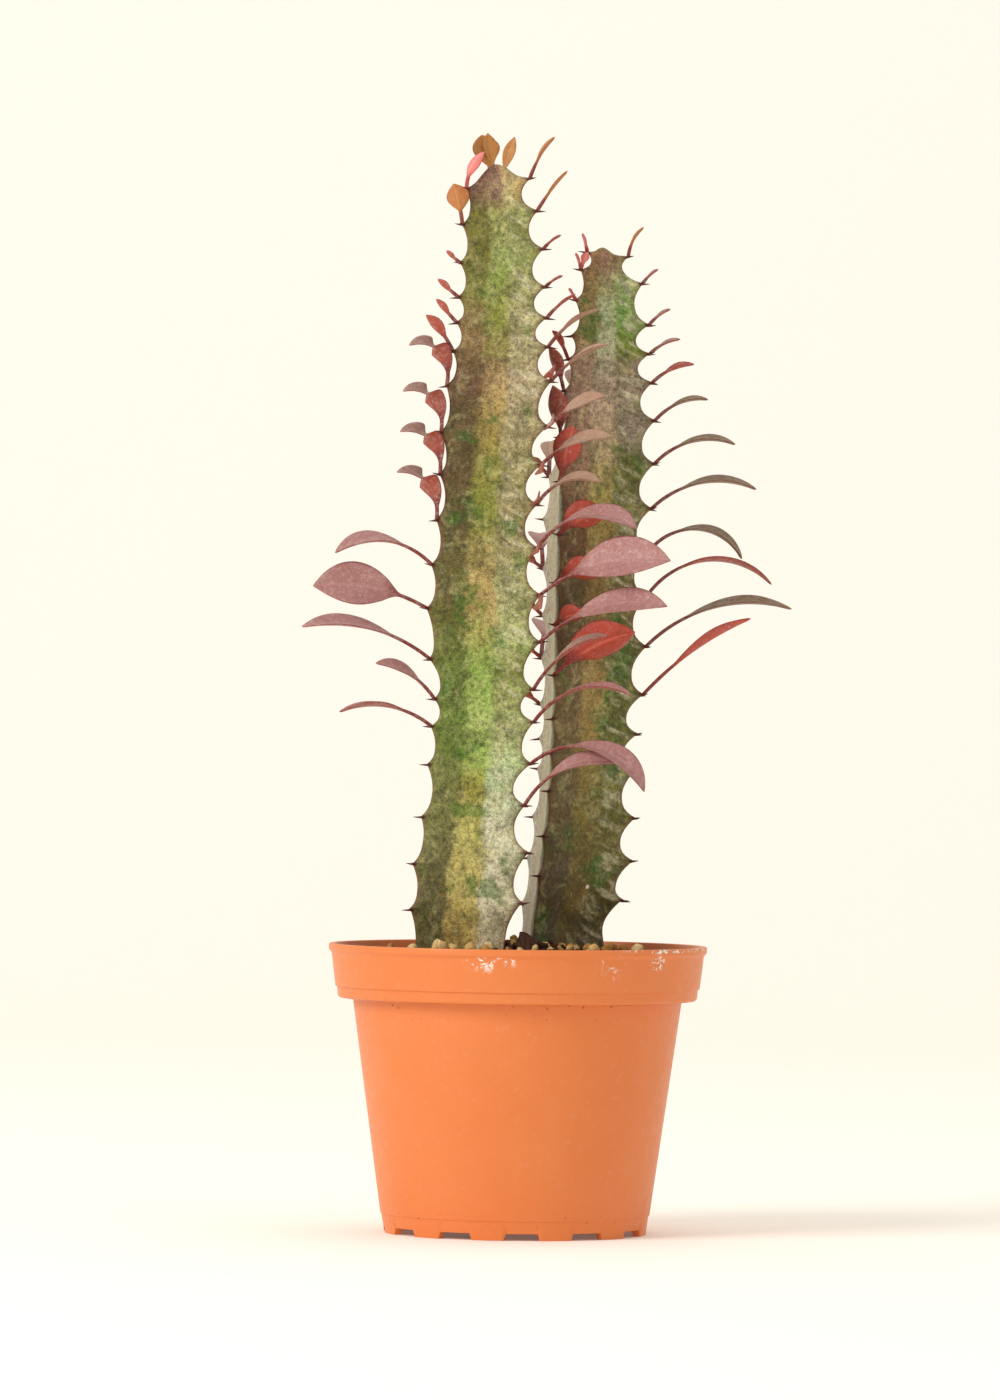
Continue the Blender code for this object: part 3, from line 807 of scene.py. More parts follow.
@dataclass(frozen=True)
class Leaf:
    """A leaf: tooth, length, width, rise at the foot, droop, turn off the rib, roll and colour.

    bend above 1 keeps the foot straight and droops the end, and twist rolls the outer half
    further. node tells whether the leaf stands for a CAD node of its own.
    """

    tooth: int
    length: float
    width: float
    rise: float
    droop: float
    turn: float = 0.0
    roll: float = 0.0
    tint: Tint = Tint.MAUVE
    twist: float = 0.0
    bend: float = 1.0
    stalk: float = 0.30
    node: bool = True


@dataclass
class Stem:
    """A three-ribbed stem: its tip, its course and its ribs.

    The axis keeps one depth from front to back. A row of the course holds a height, the axis's x
    there, the ribs' radius and a turn.
    """

    name: str
    tip: float
    depth: float
    course: tuple[tuple[float, float, float, float], ...]
    ribs: tuple[Rib, Rib, Rib]
    finish: StemFinish
    lit_gap: int = -1
    foot: float = 56.0

    def axis(self, heights: Array) -> list[Array]:
        """Axis x, axis y, rib radius and turn at given heights."""
        rows, *columns = np.array(self.course).T
        x, radius, turn = (smooth(rows, column, heights) for column in columns)
        return [x, np.full_like(heights, self.depth), radius, turn]

    def row_heights(self, rib: Rib) -> Array:
        """A rib's rows from the tip down.

        Between two teeth the rows follow half a cosine, so that they crowd at the teeth.

        Args:
            rib: the rib.

        Returns:
            Heights, from the tip down to the buried foot.
        """
        teeth = np.array(rib.heights, float)
        between = teeth[:-1, None] + np.diff(teeth)[:, None] * TOOTH_SHARES
        head = self.tip - (self.tip - teeth[0]) * np.linspace(0.0, 0.9, HEAD_ROWS)
        tail = np.concatenate([[teeth[-1]], np.linspace(teeth[-1] - 0.6, self.foot, TAIL_ROWS)])
        return np.concatenate([head, between.ravel(), tail])

    def row_standing(self, rib: Rib) -> Array:
        """How much of its tooth a rib shows at those rows.

        Under a tooth it falls away as a power of the distance, and above the next tooth it
        rises as a steeper power, so each tooth is a hook with a level top.

        Args:
            rib: the rib.

        Returns:
            Shares from 0 to 1.
        """
        below = np.clip(1 - TOOTH_SHARES / 0.55, 0, 1) ** 1.9
        above = np.clip((TOOTH_SHARES - 0.5) / 0.5, 0, 1) ** 3.4
        cycle = np.maximum(below, above)
        head = np.clip(np.linspace(-1.2, 1.0, HEAD_ROWS + 1)[:-1], 0, 1) ** 3
        tail = np.concatenate([[1.0], np.clip(1 - np.arange(1, TAIL_ROWS + 1) / 7, 0, 1) ** 2])
        return np.concatenate([head, np.tile(cycle, len(rib.heights) - 1), tail])

    def skin(self) -> Skin:
        """Works out the stem's surface.

        Round the stem, the radius falls from each crest by an exponential of the angle to it,
        which leaves a hollow face between two ribs. Up the stem, each rib's rows follow its own
        teeth, and rows between two ribs blend their heights.

        Returns:
            The skin with its painted values.
        """
        half = HALF_GAP * (np.arange(CREST_STEPS + 1) / CREST_STEPS) ** 1.6
        angles = np.concatenate([half, GAP_ANGLE - half[-2:0:-1]])
        columns: list[Array] = []
        painted = {key: [] for key in ("across", "crest", "tooth", "height", "face", "lit")}
        for gap, rib in enumerate(self.ribs):
            following = self.ribs[(gap + 1) % 3]
            first, second = self.row_heights(rib), self.row_heights(following)
            stand_first = self.row_standing(rib) * rib.tooth
            stand_second = self.row_standing(following) * following.tooth
            shrink = np.ones_like(first)
            shrink[:HEAD_ROWS] = np.sqrt(np.linspace(0.02, 1.0, HEAD_ROWS))
            for angle in angles:
                blend = angle / GAP_ANGLE
                heights = first * (1 - blend) + second * blend
                x, y, radius, turn = self.axis(heights)
                near = min(angle, GAP_ANGLE - angle)
                hollow = 0.45 + 0.55 * math.exp(-((near / 22.0) ** 1.35))
                cover = math.exp(-((near / 7.5) ** 1.5))
                own, stands = (rib, stand_first) if angle < HALF_GAP else (following, stand_second)
                lane = np.full_like(heights, gap * 50.0 + angle * 0.25)
                bumps = 0.16 * waves(heights, lane, 7.0, 3)
                reach = (radius * hollow + stands * cover) * shrink + bumps * (1 - cover)
                around = np.radians(rib.angle + angle + turn)
                columns.append(np.stack([x + reach * np.cos(around), y + reach * np.sin(around),
                                         heights], -1))
                painted["across"].append(np.full_like(heights, blend))
                painted["crest"].append(np.full_like(heights, near / HALF_GAP))
                painted["tooth"].append((stands / own.tooth) ** 3 * cover**2)
                painted["height"].append(heights)
                painted["face"].append(np.full_like(heights, gap + 1.0))
                # painted highlight: marks the face of lit_gap for the pale lit colour
                lit = math.sin(math.pi * blend) ** 0.5 if gap == self.lit_gap else 0.0
                painted["lit"].append(np.full_like(heights, lit))
        skin = Skin()
        values = {key: np.stack(parts, 1)[::-1] for key, parts in painted.items()}
        skin.tube(np.stack(columns, 1)[::-1], **values)
        return skin

    def tooth_tip(self, rib: Rib, number: int) -> tuple[Array, float]:
        """A tooth's point, and the direction in degrees in which it stands out."""
        height = np.array([float(rib.heights[number])])
        x, y, radius, turn = (value[0] for value in self.axis(height))
        direction = rib.angle + turn
        around = math.radians(direction)
        reach = radius + rib.tooth
        point = (x + reach * math.cos(around), y + reach * math.sin(around), height[0])
        return np.array(point), direction

    def spines(self, rib: Rib, seed: int) -> Skin:
        """A pair of short spines under each tooth's point.

        Each is a cone of five rings along a straight line: radius falls as the share of length
        left, to the power 0.8.

        Args:
            rib: the rib.
            seed: varies their lengths and directions.

        Returns:
            The skin of them all.
        """
        draw = np.random.default_rng(seed)
        share = np.linspace(0.0, 1.0, 5)
        ring = np.radians(np.arange(6) * 60.0)
        skin = Skin()
        for number in range(len(rib.heights)):
            tip, direction = self.tooth_tip(rib, number)
            for spread in (-38.0, 38.0):
                length = draw.uniform(1.2, 2.1)
                angle = math.radians(direction + spread + draw.uniform(-9, 9))
                out = np.array([math.cos(angle), math.sin(angle), draw.uniform(-0.15, 0.22)])
                out /= np.linalg.norm(out)
                level = np.array([-math.sin(angle), math.cos(angle), 0.0])
                above = np.cross(out, level)
                facing = math.radians(direction)
                back = np.array([math.cos(facing), math.sin(facing), 0.0])
                start = tip - back * 0.9 + np.array([0, 0, -0.3])
                line = start + out * (share * (length + 1.2))[:, None]
                radius = 0.42 * (1 - share) ** 0.8 + 0.03
                rings = (line[:, None] + radius[:, None, None]
                         * (level * np.cos(ring)[:, None] + above * np.sin(ring)[:, None]))
                skin.tube(rings, along=share[:, None])
        return skin

    def build(self, effects: Effects, horn: bpy.types.Material) -> None:
        """Makes the stem and its spines.

        Args:
            effects: the shared groups.
            horn: the spines' finish.
        """
        self.skin().piece(f"{self.name}_skin", self.finish.build(effects), "stem_skin", self.name)
        for seed, rib in enumerate(self.ribs):
            name = f"spines_{self.name[5:]}_{rib.name}"
            self.spines(rib, seed + 11).piece(name, horn, "dried_stem")


TALL_STEM = Stem(
    "stem_tall",
    tip=296.0,
    depth=-9.0,
    course=(
        (50.0, -16.5, 11.0, 0.0), (84.0, -15.8, 14.4, 0.0), (104.0, -14.1, 15.2, 0.0),
        (122.0, -13.1, 12.8, 0.0), (137.0, -11.4, 13.8, 0.0), (147.0, -11.1, 12.7, 0.0),
        (167.0, -11.3, 15.2, 0.0), (192.0, -11.0, 13.4, 0.0), (206.0, -10.4, 12.7, 0.0),
        (220.0, -9.3, 13.8, 0.0), (231.0, -8.1, 14.0, 0.0), (246.0, -7.4, 12.0, 0.0),
        (260.0, -7.3, 10.9, 0.0), (276.0, -7.6, 9.8, 0.0), (287.0, -8.3, 8.0, 0.0),
        (297.0, -8.6, 5.5, 0.0),
    ),
    ribs=(
        Rib("right", -30.0, 4.2,
            (292, 283, 272.5, 262, 253.5, 245.5, 236, 223.5, 213, 202, 190, 177, 164, 151,
             142, 130.5, 119, 106, 92)),
        Rib("back", 90.0, 3.4,
            (290, 280, 270, 260.5, 251.5, 242.5, 232, 220, 209, 197.5, 186, 173.5, 160, 148,
             138, 127, 115, 102.5, 89)),
        Rib("left", 210.0, 2.3,
            (289, 279, 268.5, 259, 252, 244, 234.5, 221.5, 210, 197.5, 185, 173, 159, 148,
             140.5, 130, 115.5, 102.5, 90)),
    ),
    finish=TALL_SKIN,
)

SHORT_STEM = Stem(
    "stem_short",
    tip=274.5,
    depth=10.0,
    course=(
        (50.0, 9.5, 11.5, 0.0), (74.0, 9.8, 15.2, 0.0), (86.0, 10.0, 13.7, 0.0),
        (98.0, 12.3, 15.3, 0.0), (109.0, 13.4, 15.0, 0.0), (123.0, 14.5, 14.2, 0.0),
        (136.0, 15.0, 13.9, 0.0), (154.0, 16.0, 14.9, 0.0), (179.0, 16.3, 15.0, 0.0),
        (208.0, 17.3, 15.3, 0.0), (222.0, 18.6, 14.4, -6.0), (234.0, 19.7, 12.5, -12.0),
        (247.0, 21.0, 10.2, -18.0), (259.0, 21.9, 8.7, -22.0), (266.0, 21.7, 6.9, -24.0),
        (270.0, 21.5, 4.6, -24.0), (275.0, 21.3, 2.4, -24.0),
    ),
    ribs=(
        Rib("right", 7.0, 4.0,
            (272, 264.5, 253, 245, 237, 226.5, 214.5, 202, 190, 177.5, 163.5, 150, 139, 129,
             115.5, 103.5, 92.5)),
        Rib("back", 127.0, 2.6,
            (270.5, 262, 252, 243, 233, 222, 211, 199, 185, 172, 160, 147, 137.5, 129,
             115.5, 104, 91)),
        Rib("front", 247.0, 3.0,
            (273, 268, 259.5, 249.5, 243, 234, 220.5, 209, 194, 181, 169, 155, 143, 133.5,
             123, 110.5, 99.5)),
    ),
    finish=SHORT_SKIN,
    lit_gap=1,
)


# ---------------------------------------------------------------- leaves

LEAVES: dict[tuple[str, str], tuple[Leaf, ...]] = {
    ("stem_tall", "left"): (
        Leaf(0, 11.0, 3.6, 92, -55, -10, 40, Tint.CORAL, bend=1.2, stalk=0.2, node=False),
        Leaf(1, 10.5, 6.8, 82, 10, -20, 62, Tint.OCHRE),
        Leaf(2, 4.0, 2.0, 30, -20, -20, 30, Tint.RUSSET, node=False),
        Leaf(3, 6.5, 2.8, 34, -12, -20, 30, Tint.RUSSET, node=False),
        Leaf(4, 7.5, 3.0, 44, -8, -20, 30, Tint.RUSSET),
        Leaf(5, 11.5, 4.2, 62, 20, -20, 40, Tint.RUSSET),
        Leaf(6, 18.5, 6.4, 100, 130, -10, 48, Tint.RUSSET, twist=-82, bend=1.3, stalk=0.12),
        Leaf(7, 18.5, 6.6, 98, 124, -10, 48, Tint.RUSSET, twist=-82, bend=1.3, stalk=0.12),
        Leaf(8, 19.0, 6.6, 96, 120, -10, 48, Tint.RUSSET, twist=-86, bend=1.3, stalk=0.12),
        Leaf(9, 19.5, 6.8, 95, 110, -10, 48, Tint.RUSSET, twist=-82, bend=1.3, stalk=0.12),
        Leaf(10, 28.5, 9.0, 46, 80, -18, -20),
        Leaf(11, 32.0, 12.6, 28, 36, -18, -72, stalk=0.24),
        Leaf(12, 37.5, 9.0, 38, 50, -15, -22),
        Leaf(13, 19.0, 6.5, 56, 52, -15, -30),
        Leaf(14, 26.5, 7.0, 38, 60, -15),
    ),
    ("stem_tall", "right"): (
        Leaf(0, 12.5, 4.0, 72, 30, 5, 30, Tint.OCHRE),
        Leaf(1, 13.0, 3.4, 58, 15, 5, 20, Tint.OCHRE),
        Leaf(2, 5.5, 1.8, 50, 30, 5, 20, Tint.RUSSET, node=False),
        Leaf(3, 5.0, 1.8, 45, 30, 5, 20, Tint.RUSSET, node=False),
        Leaf(4, 9.5, 2.6, 50, 25, 8, 10, Tint.RUSSET),
        Leaf(5, 17.0, 4.8, 54, 38, 8, 8, Tint.TAN),
        Leaf(6, 18.5, 5.4, 50, 38, 8, 18, Tint.TAN),
        Leaf(6, 6.0, 5.0, 30, 10, -60, 50, Tint.RUSSET, node=False),
        Leaf(7, 18.0, 6.6, 44, 36, 8, 38, Tint.TAN, stalk=0.22),
        Leaf(7, 6.5, 5.5, 10, 10, -50, 60, Tint.RUSSET, node=False),
        Leaf(8, 21.5, 6.8, 44, 48, 8, 34, Tint.TAN, stalk=0.22),
        Leaf(8, 6.0, 5.0, -10, 20, -60, 60, Tint.SCARLET, node=False),
        Leaf(9, 20.0, 6.6, 58, 80, 8, 24, Tint.TAN),
        Leaf(9, 6.5, 5.0, 20, 20, -60, 60, Tint.RUSSET, node=False),
        Leaf(10, 32.0, 9.0, 56, 92, 8, 30),
        Leaf(10, 6.5, 5.0, 0, 20, -60, 60, Tint.SCARLET, node=False),
        Leaf(11, 39.5, 12.4, 38, 48, 8, 66, stalk=0.24),
        Leaf(11, 7.0, 5.0, -20, 20, -60, 60, Tint.SCARLET, node=False),
        Leaf(12, 39.0, 10.0, 42, 54, 8, 46, stalk=0.26),
        Leaf(13, 26.0, 7.0, 60, 50, 8, 22, Tint.RUSSET),
        Leaf(14, 31.0, 6.5, 55, 80, 8, 10),
        Leaf(15, 38.0, 9.0, 40, 105, 10, 25),
        Leaf(16, 30.0, 8.0, 60, 72, 8, 34),
    ),
    ("stem_tall", "back"): (
        Leaf(0, 15.0, 8.2, 66, -12, 60, -40, Tint.OCHRE, stalk=0.42),
        Leaf(0, 15.2, 4.4, 76, 0, 44, -24, Tint.OCHRE, stalk=0.42, node=False),
        Leaf(0, 14.8, 3.6, 66, -6, -60, 40, Tint.OCHRE, stalk=0.35, node=False),
        Leaf(5, 14.0, 4.5, 60, 40, 12, 0, Tint.RUSSET),
        Leaf(7, 20.0, 6.0, 55, 55, 18, 0, Tint.TAN),
        Leaf(9, 27.0, 7.5, 52, 65, 12),
        Leaf(11, 33.0, 9.0, 50, 60, 20),
        Leaf(13, 30.0, 9.0, 52, 75, 14),
    ),
    ("stem_short", "right"): (
        Leaf(0, 8.5, 2.2, 85, 45, 8, 20, Tint.OCHRE),
        Leaf(1, 5.0, 1.8, 55, 25, 8, 20, Tint.RUSSET, node=False),
        Leaf(2, 6.5, 2.2, 52, 30, 8, 20, Tint.RUSSET),
        Leaf(3, 8.5, 2.8, 45, 38, 4, 20, Tint.RUSSET),
        Leaf(4, 12.0, 3.8, 45, 42, 0, -20, Tint.RUSSET),
        Leaf(5, 15.5, 5.0, 50, 56, -4, 14, Tint.OLIVE),
        Leaf(6, 23.5, 6.5, 48, 68, -8, 14, Tint.OLIVE),
        Leaf(7, 30.5, 7.5, 45, 68, -8, 14, Tint.OLIVE),
        Leaf(8, 30.0, 7.5, 54, 116, -10, 14, Tint.OLIVE),
        Leaf(9, 39.0, 8.0, 57, 102, -8, 0, Tint.RUSSET),
        Leaf(10, 43.0, 8.5, 46, 62, -8, 14, Tint.OLIVE),
        Leaf(11, 36.0, 8.0, 48, 24, -8, -14, Tint.SCARLET),
    ),
    ("stem_short", "front"): (
        Leaf(0, 4.5, 2.8, 80, 20, 0, -40, Tint.CORAL, node=False),
        Leaf(1, 4.0, 2.6, 75, 20, 0, -40, Tint.CORAL, node=False),
        Leaf(1, 4.5, 2.4, 70, 20, 90, -40, Tint.CORAL, node=False),
        Leaf(2, 3.0, 2.2, 60, 20, 0, -40, Tint.CORAL, node=False),
        Leaf(4, 8.0, 3.4, 70, 20, -60, 40, Tint.SCARLET, node=False),
        Leaf(5, 12.0, 5.0, 76, 10, -50, 40, Tint.RUSSET, stalk=0.2),
        Leaf(6, 14.0, 6.8, 84, 8, -40, 36, Tint.RUSSET, stalk=0.14),
        Leaf(7, 15.0, 8.0, 76, 12, 62, -40, Tint.SCARLET, stalk=0.10),
        Leaf(8, 15.0, 10.0, 40, 30, 84, -45, Tint.SCARLET, stalk=0.10),
        Leaf(9, 15.0, 9.0, 30, 40, 84, -45, Tint.SCARLET, stalk=0.08, node=False),
        Leaf(10, 9.0, 6.0, 40, 40, 80, -50, Tint.SCARLET, stalk=0.12, node=False),
        Leaf(11, 26.0, 12.5, 44, 34, 92, -48, Tint.SCARLET, stalk=0.12),
    ),
    ("stem_short", "back"): (
        Leaf(4, 12.0, 4.5, 60, 35, -30, 0, Tint.RUSSET),
        Leaf(6, 17.0, 5.5, 58, 45, -38, 0, Tint.TAN),
        Leaf(6, 7.0, 4.0, 50, 20, 62, 30, Tint.RUSSET, node=False),
        Leaf(8, 24.0, 7.0, 55, 60, -34),
        Leaf(8, 6.5, 4.0, 40, 20, 62, 30, Tint.RUSSET, node=False),
        Leaf(9, 6.5, 4.0, 45, 20, 62, 30, Tint.SCARLET, node=False),
        Leaf(10, 29.0, 8.5, 52, 65, -42),
        Leaf(10, 6.0, 3.6, 40, 20, 62, 30, Tint.SCARLET, node=False),
        Leaf(11, 6.0, 3.6, 40, 20, 62, 30, Tint.RUSSET, node=False),
    ),
}


@dataclass
class Blade:
    """One leaf as a surface: a stalk that arches over into a keeled blade."""

    leaf: Leaf
    tip: Array
    direction: float
    seed: int
    stations: int = 44
    sides: int = 9
    fold: float = 18.0
    thickness: float = 0.75
    stalk_width: float = 1.15
    roll_over: float = 0.4
    twist_from: float = 0.52
    twist_over: float = 0.14

    def width(self, share: Array) -> Array:
        """Width along the leaf: a thin stalk, then the power of a sine, widest past the middle."""
        along = np.clip((share - self.leaf.stalk) / (1.0 - self.leaf.stalk), 0.0, 1.0)
        blade = self.leaf.width * np.sin(math.pi * np.clip(along, 0, 0.999) ** 1.15) ** 0.85
        stalk = min(self.stalk_width, self.leaf.width * 0.5) * (1.15 - 0.35 * share)
        return np.maximum(blade, np.where(share < 0.9, stalk, 0.35))

    def skin(self) -> Skin:
        """Works out the leaf's surface.

        The line climbs at rise minus droop times the share of length to the power bend. Across
        it, a section runs over the upper side and back under it; its edges are lifted into a
        keel and gently waved, and its thickness is a half circle's across the width.

        Returns:
            The skin with its painted values.
        """
        leaf = self.leaf
        share = np.linspace(0.0, 1.0, self.stations)
        azimuth = np.full_like(share, np.radians(self.direction + leaf.turn))
        climb = np.radians(leaf.rise - leaf.droop * share**leaf.bend)
        along = np.stack([np.cos(azimuth) * np.cos(climb), np.sin(azimuth) * np.cos(climb),
                          np.sin(climb)], -1)
        steps = (along[1:] + along[:-1]) / 2 * (leaf.length + 1.0) / (self.stations - 1)
        out = np.array([math.cos(math.radians(self.direction)),
                        math.sin(math.radians(self.direction)), 0.4])
        line = self.tip - out * 0.2 + np.vstack([np.zeros(3), np.cumsum(steps, axis=0)])
        level = np.stack([-np.sin(azimuth), np.cos(azimuth), np.zeros_like(azimuth)], -1)
        above = np.cross(along, level)
        rolled = leaf.roll * np.clip(share / self.roll_over, 0.0, 1.0)
        twisted = leaf.twist * np.clip((share - self.twist_from) / self.twist_over, 0.0, 1.0)
        roll = np.radians(rolled + twisted)[:, None]
        side = level * np.cos(roll) + above * np.sin(roll)
        face = above * np.cos(roll) - level * np.sin(roll)
        turn = np.linspace(0.0, math.pi, self.sides)
        across = np.concatenate([np.cos(turn), np.cos(turn[-2:0:-1])])
        bulge = np.concatenate([np.sin(turn), -np.sin(turn[-2:0:-1])])
        width = self.width(share)[:, None] / 2
        draw = np.random.default_rng(self.seed)
        wave = 0.05 * np.sin(share[:, None] * draw.uniform(9, 14) + draw.uniform(0, 6) + across)
        keel = width * math.tan(math.radians(self.fold)) * (np.abs(across) ** 1.4 + wave * across**2)
        slim = np.clip((share - leaf.stalk * 0.6) / 0.25, 0.0, 1.0)[:, None]
        half = (0.50 * (1 - slim) + self.thickness / 2 * slim) * np.minimum(1.0, width / 0.5)
        rings = (line[:, None] + side[:, None] * (width * across)[..., None]
                 + face[:, None] * (keel + half * bulge)[..., None])
        skin = Skin()
        skin.tube(rings, along=share[:, None], across=across, upper=bulge * 0.5 + 0.5)
        return skin


class Foliage:
    """All leaves of both stems, each a piece of its own."""

    def __init__(self, effects: Effects) -> None:
        """Builds one finish for each tint."""
        self.finishes = {tint: tint.value.build(effects) for tint in Tint}

    def build(self, stem: Stem) -> None:
        """Makes one stem's leaves.

        Args:
            stem: the stem that they grow on.
        """
        for rib in stem.ribs:
            for number, leaf in enumerate(LEAVES[(stem.name, rib.name)]):
                tip, direction = stem.tooth_tip(rib, leaf.tooth)
                node = f"leaf_{stem.name[5:]}_{rib.name}_{leaf.tooth + 1:02d}"
                name = f"{node}_blade" if leaf.node else f"{node}_bud_{number}"
                nodes = (node,) if leaf.node else ()
                blade = Blade(leaf, tip, direction, seed=leaf.tooth * 7 + int(rib.angle) % 97)
                blade.skin().piece(name, self.finishes[leaf.tint], "leaf_skin", *nodes)


# ---------------------------------------------------------------- pot


@dataclass
class Pot:
    """The moulded pot: a turned shell whose foot ring is notched into twelve feet."""

    lip_top: float = 80.0
    lip_radius: float = 52.5
    lip_underside: float = 77.4
    collar_radius: float = 51.7
    parting_height: float = 68.2
    parting_radius: float = 50.6
    parting_step: float = 0.5
    collar_bottom: float = 64.9
    body_radius: float = 45.6
    base_line: float = 5.4
    base_radius: float = 37.4
    foot_radius: float = 36.5
    foot_width: float = 2.0
    wall: float = 1.2
    floor: float = 2.4
    notch: float = 1.9
    first_notch: float = 3.0
    notch_half: float = 7.6
    feet: int = 12
    drains: int = 6
    drain_radius: float = 3.5
    drain_circle: float = 25.0
    steps: int = 360

    @property
    def knees(self) -> tuple[float, float]:
        """Heights between which the inner wall steps out to the collar."""
        return self.collar_bottom - 1.0, self.collar_bottom + 1.6

    def inner_radius(self, height: float) -> float:
        """The inside radius at a height."""
        rows = (self.floor + self.wall, *self.knees, self.lip_underside)
        radii = (self.base_radius - self.wall - 0.3, self.body_radius - self.wall,
                 self.parting_radius - self.parting_step - self.wall, self.collar_radius - self.wall)
        return float(np.interp(height, rows, radii))

    def outline(self) -> Array:
        """Corners with their rounding, from the floor's inside over the lip to the underside.

        Returns:
            Rows of radius, height and rounding.
        """
        bottom, top = self.knees
        step = self.parting_radius - self.parting_step
        return np.array([
            (self.drain_circle * 0.2, self.floor + self.wall, 0.0),
            (self.inner_radius(0), self.floor + self.wall, 1.0),
            (self.inner_radius(bottom), bottom, 0.5),
            (self.inner_radius(top), top, 0.5),
            (self.inner_radius(self.lip_underside), self.lip_underside, 0.4),
            (self.collar_radius - 0.9, self.lip_top, 0.35),
            (self.lip_radius, self.lip_top, 0.45),
            (self.lip_radius, self.lip_top - 1.7, 0.35),
            (self.collar_radius, self.lip_underside, 0.4),
            (self.parting_radius, self.parting_height, 0.12),
            (step, self.parting_height - 0.15, 0.12),
            (step - 0.25, self.collar_bottom, 1.0),
            (self.body_radius + 0.1, self.collar_bottom, 0.3),
            (self.base_radius, self.base_line, 0.15),
            (self.base_radius - 0.3, self.base_line - 0.3, 0.15),
            (self.foot_radius, 0.0, 0.2),
            (self.foot_radius - self.foot_width, 0.0, 0.2),
            (self.foot_radius - self.foot_width, self.floor, 0.2),
            (self.drain_circle * 0.2, self.floor, 0.0),
        ])

    def profile(self) -> Array:
        """The outline with each corner rounded by a short curve and long runs divided.

        Returns:
            Rows of radius and height.
        """
        rows = self.outline()
        points = [rows[0, :2]]
        for before, corner, after in zip(rows[:-2], rows[1:-1], rows[2:]):
            into, out = before[:2] - corner[:2], after[:2] - corner[:2]
            reach_in = min(corner[2], np.linalg.norm(into) * 0.45)
            reach_out = min(corner[2], np.linalg.norm(out) * 0.45)
            start = corner[:2] + into / np.linalg.norm(into) * reach_in
            end = corner[:2] + out / np.linalg.norm(out) * reach_out
            gap = np.linalg.norm(start - points[-1])
            extra = max(1, int(gap / 3.0))
            points += [points[-1] + (start - points[-1]) * k / extra for k in range(1, extra)]
            for t in np.linspace(0.0, 1.0, 5):
                points.append(start * (1 - t) ** 2 + corner[:2] * 2 * t * (1 - t) + end * t**2)
        points.append(rows[-1, :2])
        return np.array(points)

    def notch_height(self, angles: Array) -> Array:
        """How high the foot ring is cut away round the pot: flat notches with slanting ends."""
        period = 360.0 / self.feet
        off = np.abs((angles - self.first_notch + period / 2) % period - period / 2)
        return self.notch * np.clip((self.notch_half + 0.35 - off) / 0.9, 0.0, 1.0)

    def build(self, finish: bpy.types.Material) -> None:
        """Turns the profile, lifts the foot ring at each notch and opens the drain holes.

        Args:
            finish: the plastic.
        """
        profile = self.profile()[::-1]
        degrees = np.arange(self.steps) * 360.0 / self.steps
        radians = np.radians(degrees)[None]
        radius, height = profile[:, :1], profile[:, 1:]
        lifted = np.maximum(height, self.notch_height(degrees)[None] * (height < self.floor))
        rings = np.stack([radius * np.cos(radians), radius * np.sin(radians), lifted], -1)
        inside = (radius < self.inner_radius(self.lip_underside)) & (height > self.floor + 0.5)
        inside &= np.arange(len(profile))[:, None] > np.argmax(profile[:, 1])
        skin = Skin()
        skin.tube(rings, lime=self.lime(degrees, height, inside), dirt=self.dirt(degrees, height),
                  inside=inside.astype(float))
        shell = skin.piece("pot_shell", finish, "pot_plastic", "pot")
        self.open_drains(shell)

    def lime(self, degrees: Array, height: Array, inside: Array) -> Array:
        """Where lime has dried: patches on the upper collar and a thin line along the lip."""
        total = np.zeros((len(height), len(degrees)))
        for middle, spread, level in ((300.0, 7.0, 75.0), (262.0, 9.0, 75.5), (318.0, 3.0, 76.0),
                                      (60.0, 9.0, 74.0), (150.0, 6.0, 75.5)):
            off = off_angle(degrees, middle)
            total += np.exp(-(off / spread) ** 2)[None] * np.exp(-((height - level) / 1.9) ** 2)
        rim = (height > self.lip_top - 1.0) * np.exp(-(off_angle(degrees, 330.0) / 22) ** 2)
        return np.clip(total + rim * 0.8, 0, 1) * ~inside

    def dirt(self, degrees: Array, height: Array) -> Array:
        """Where crumbs of soil cling: just under the collar, and a little above the feet."""
        uneven = 0.6 + 0.4 * np.sin(np.radians(degrees) * 5 + 1.0)[None]
        under = np.exp(-((height - self.collar_bottom + 1.5) / 1.8) ** 2)
        low = 0.35 * np.exp(-((height - self.base_line) / 2.5) ** 2)
        return (under + low) * uneven

    def open_drains(self, shell: bpy.types.Object) -> None:
        """Cuts the round drain holes through the floor.

        Args:
            shell: the pot's piece.
        """
        turn = np.radians(np.arange(32) * 11.25)
        skin = Skin()
        for number in range(self.drains):
            angle = math.radians(number * 360.0 / self.drains)
            middle = np.array([math.cos(angle), math.sin(angle)]) * self.drain_circle
            ring = np.stack([middle[0] + self.drain_radius * np.cos(turn),
                             middle[1] + self.drain_radius * np.sin(turn)], -1)
            skin.tube(np.stack([np.column_stack([ring, np.full(32, z)]) for z in (0.5, 5.5)]))
        cutter = skin.piece("drain_cutter", shell.data.materials[0], "pot_plastic")
        boolean = shell.modifiers.new("drain_holes", "BOOLEAN")
        boolean.operation = "DIFFERENCE"
        boolean.solver = "EXACT"
        boolean.object = cutter
        graph = bpy.context.evaluated_depsgraph_get()
        cut = bpy.data.meshes.new_from_object(shell.evaluated_get(graph))
        shell.modifiers.clear()
        shell.data = cut
        bpy.data.objects.remove(cutter)
        cut.set_sharp_from_angle(angle=math.radians(50))


# ---------------------------------------------------------------- soil and grit


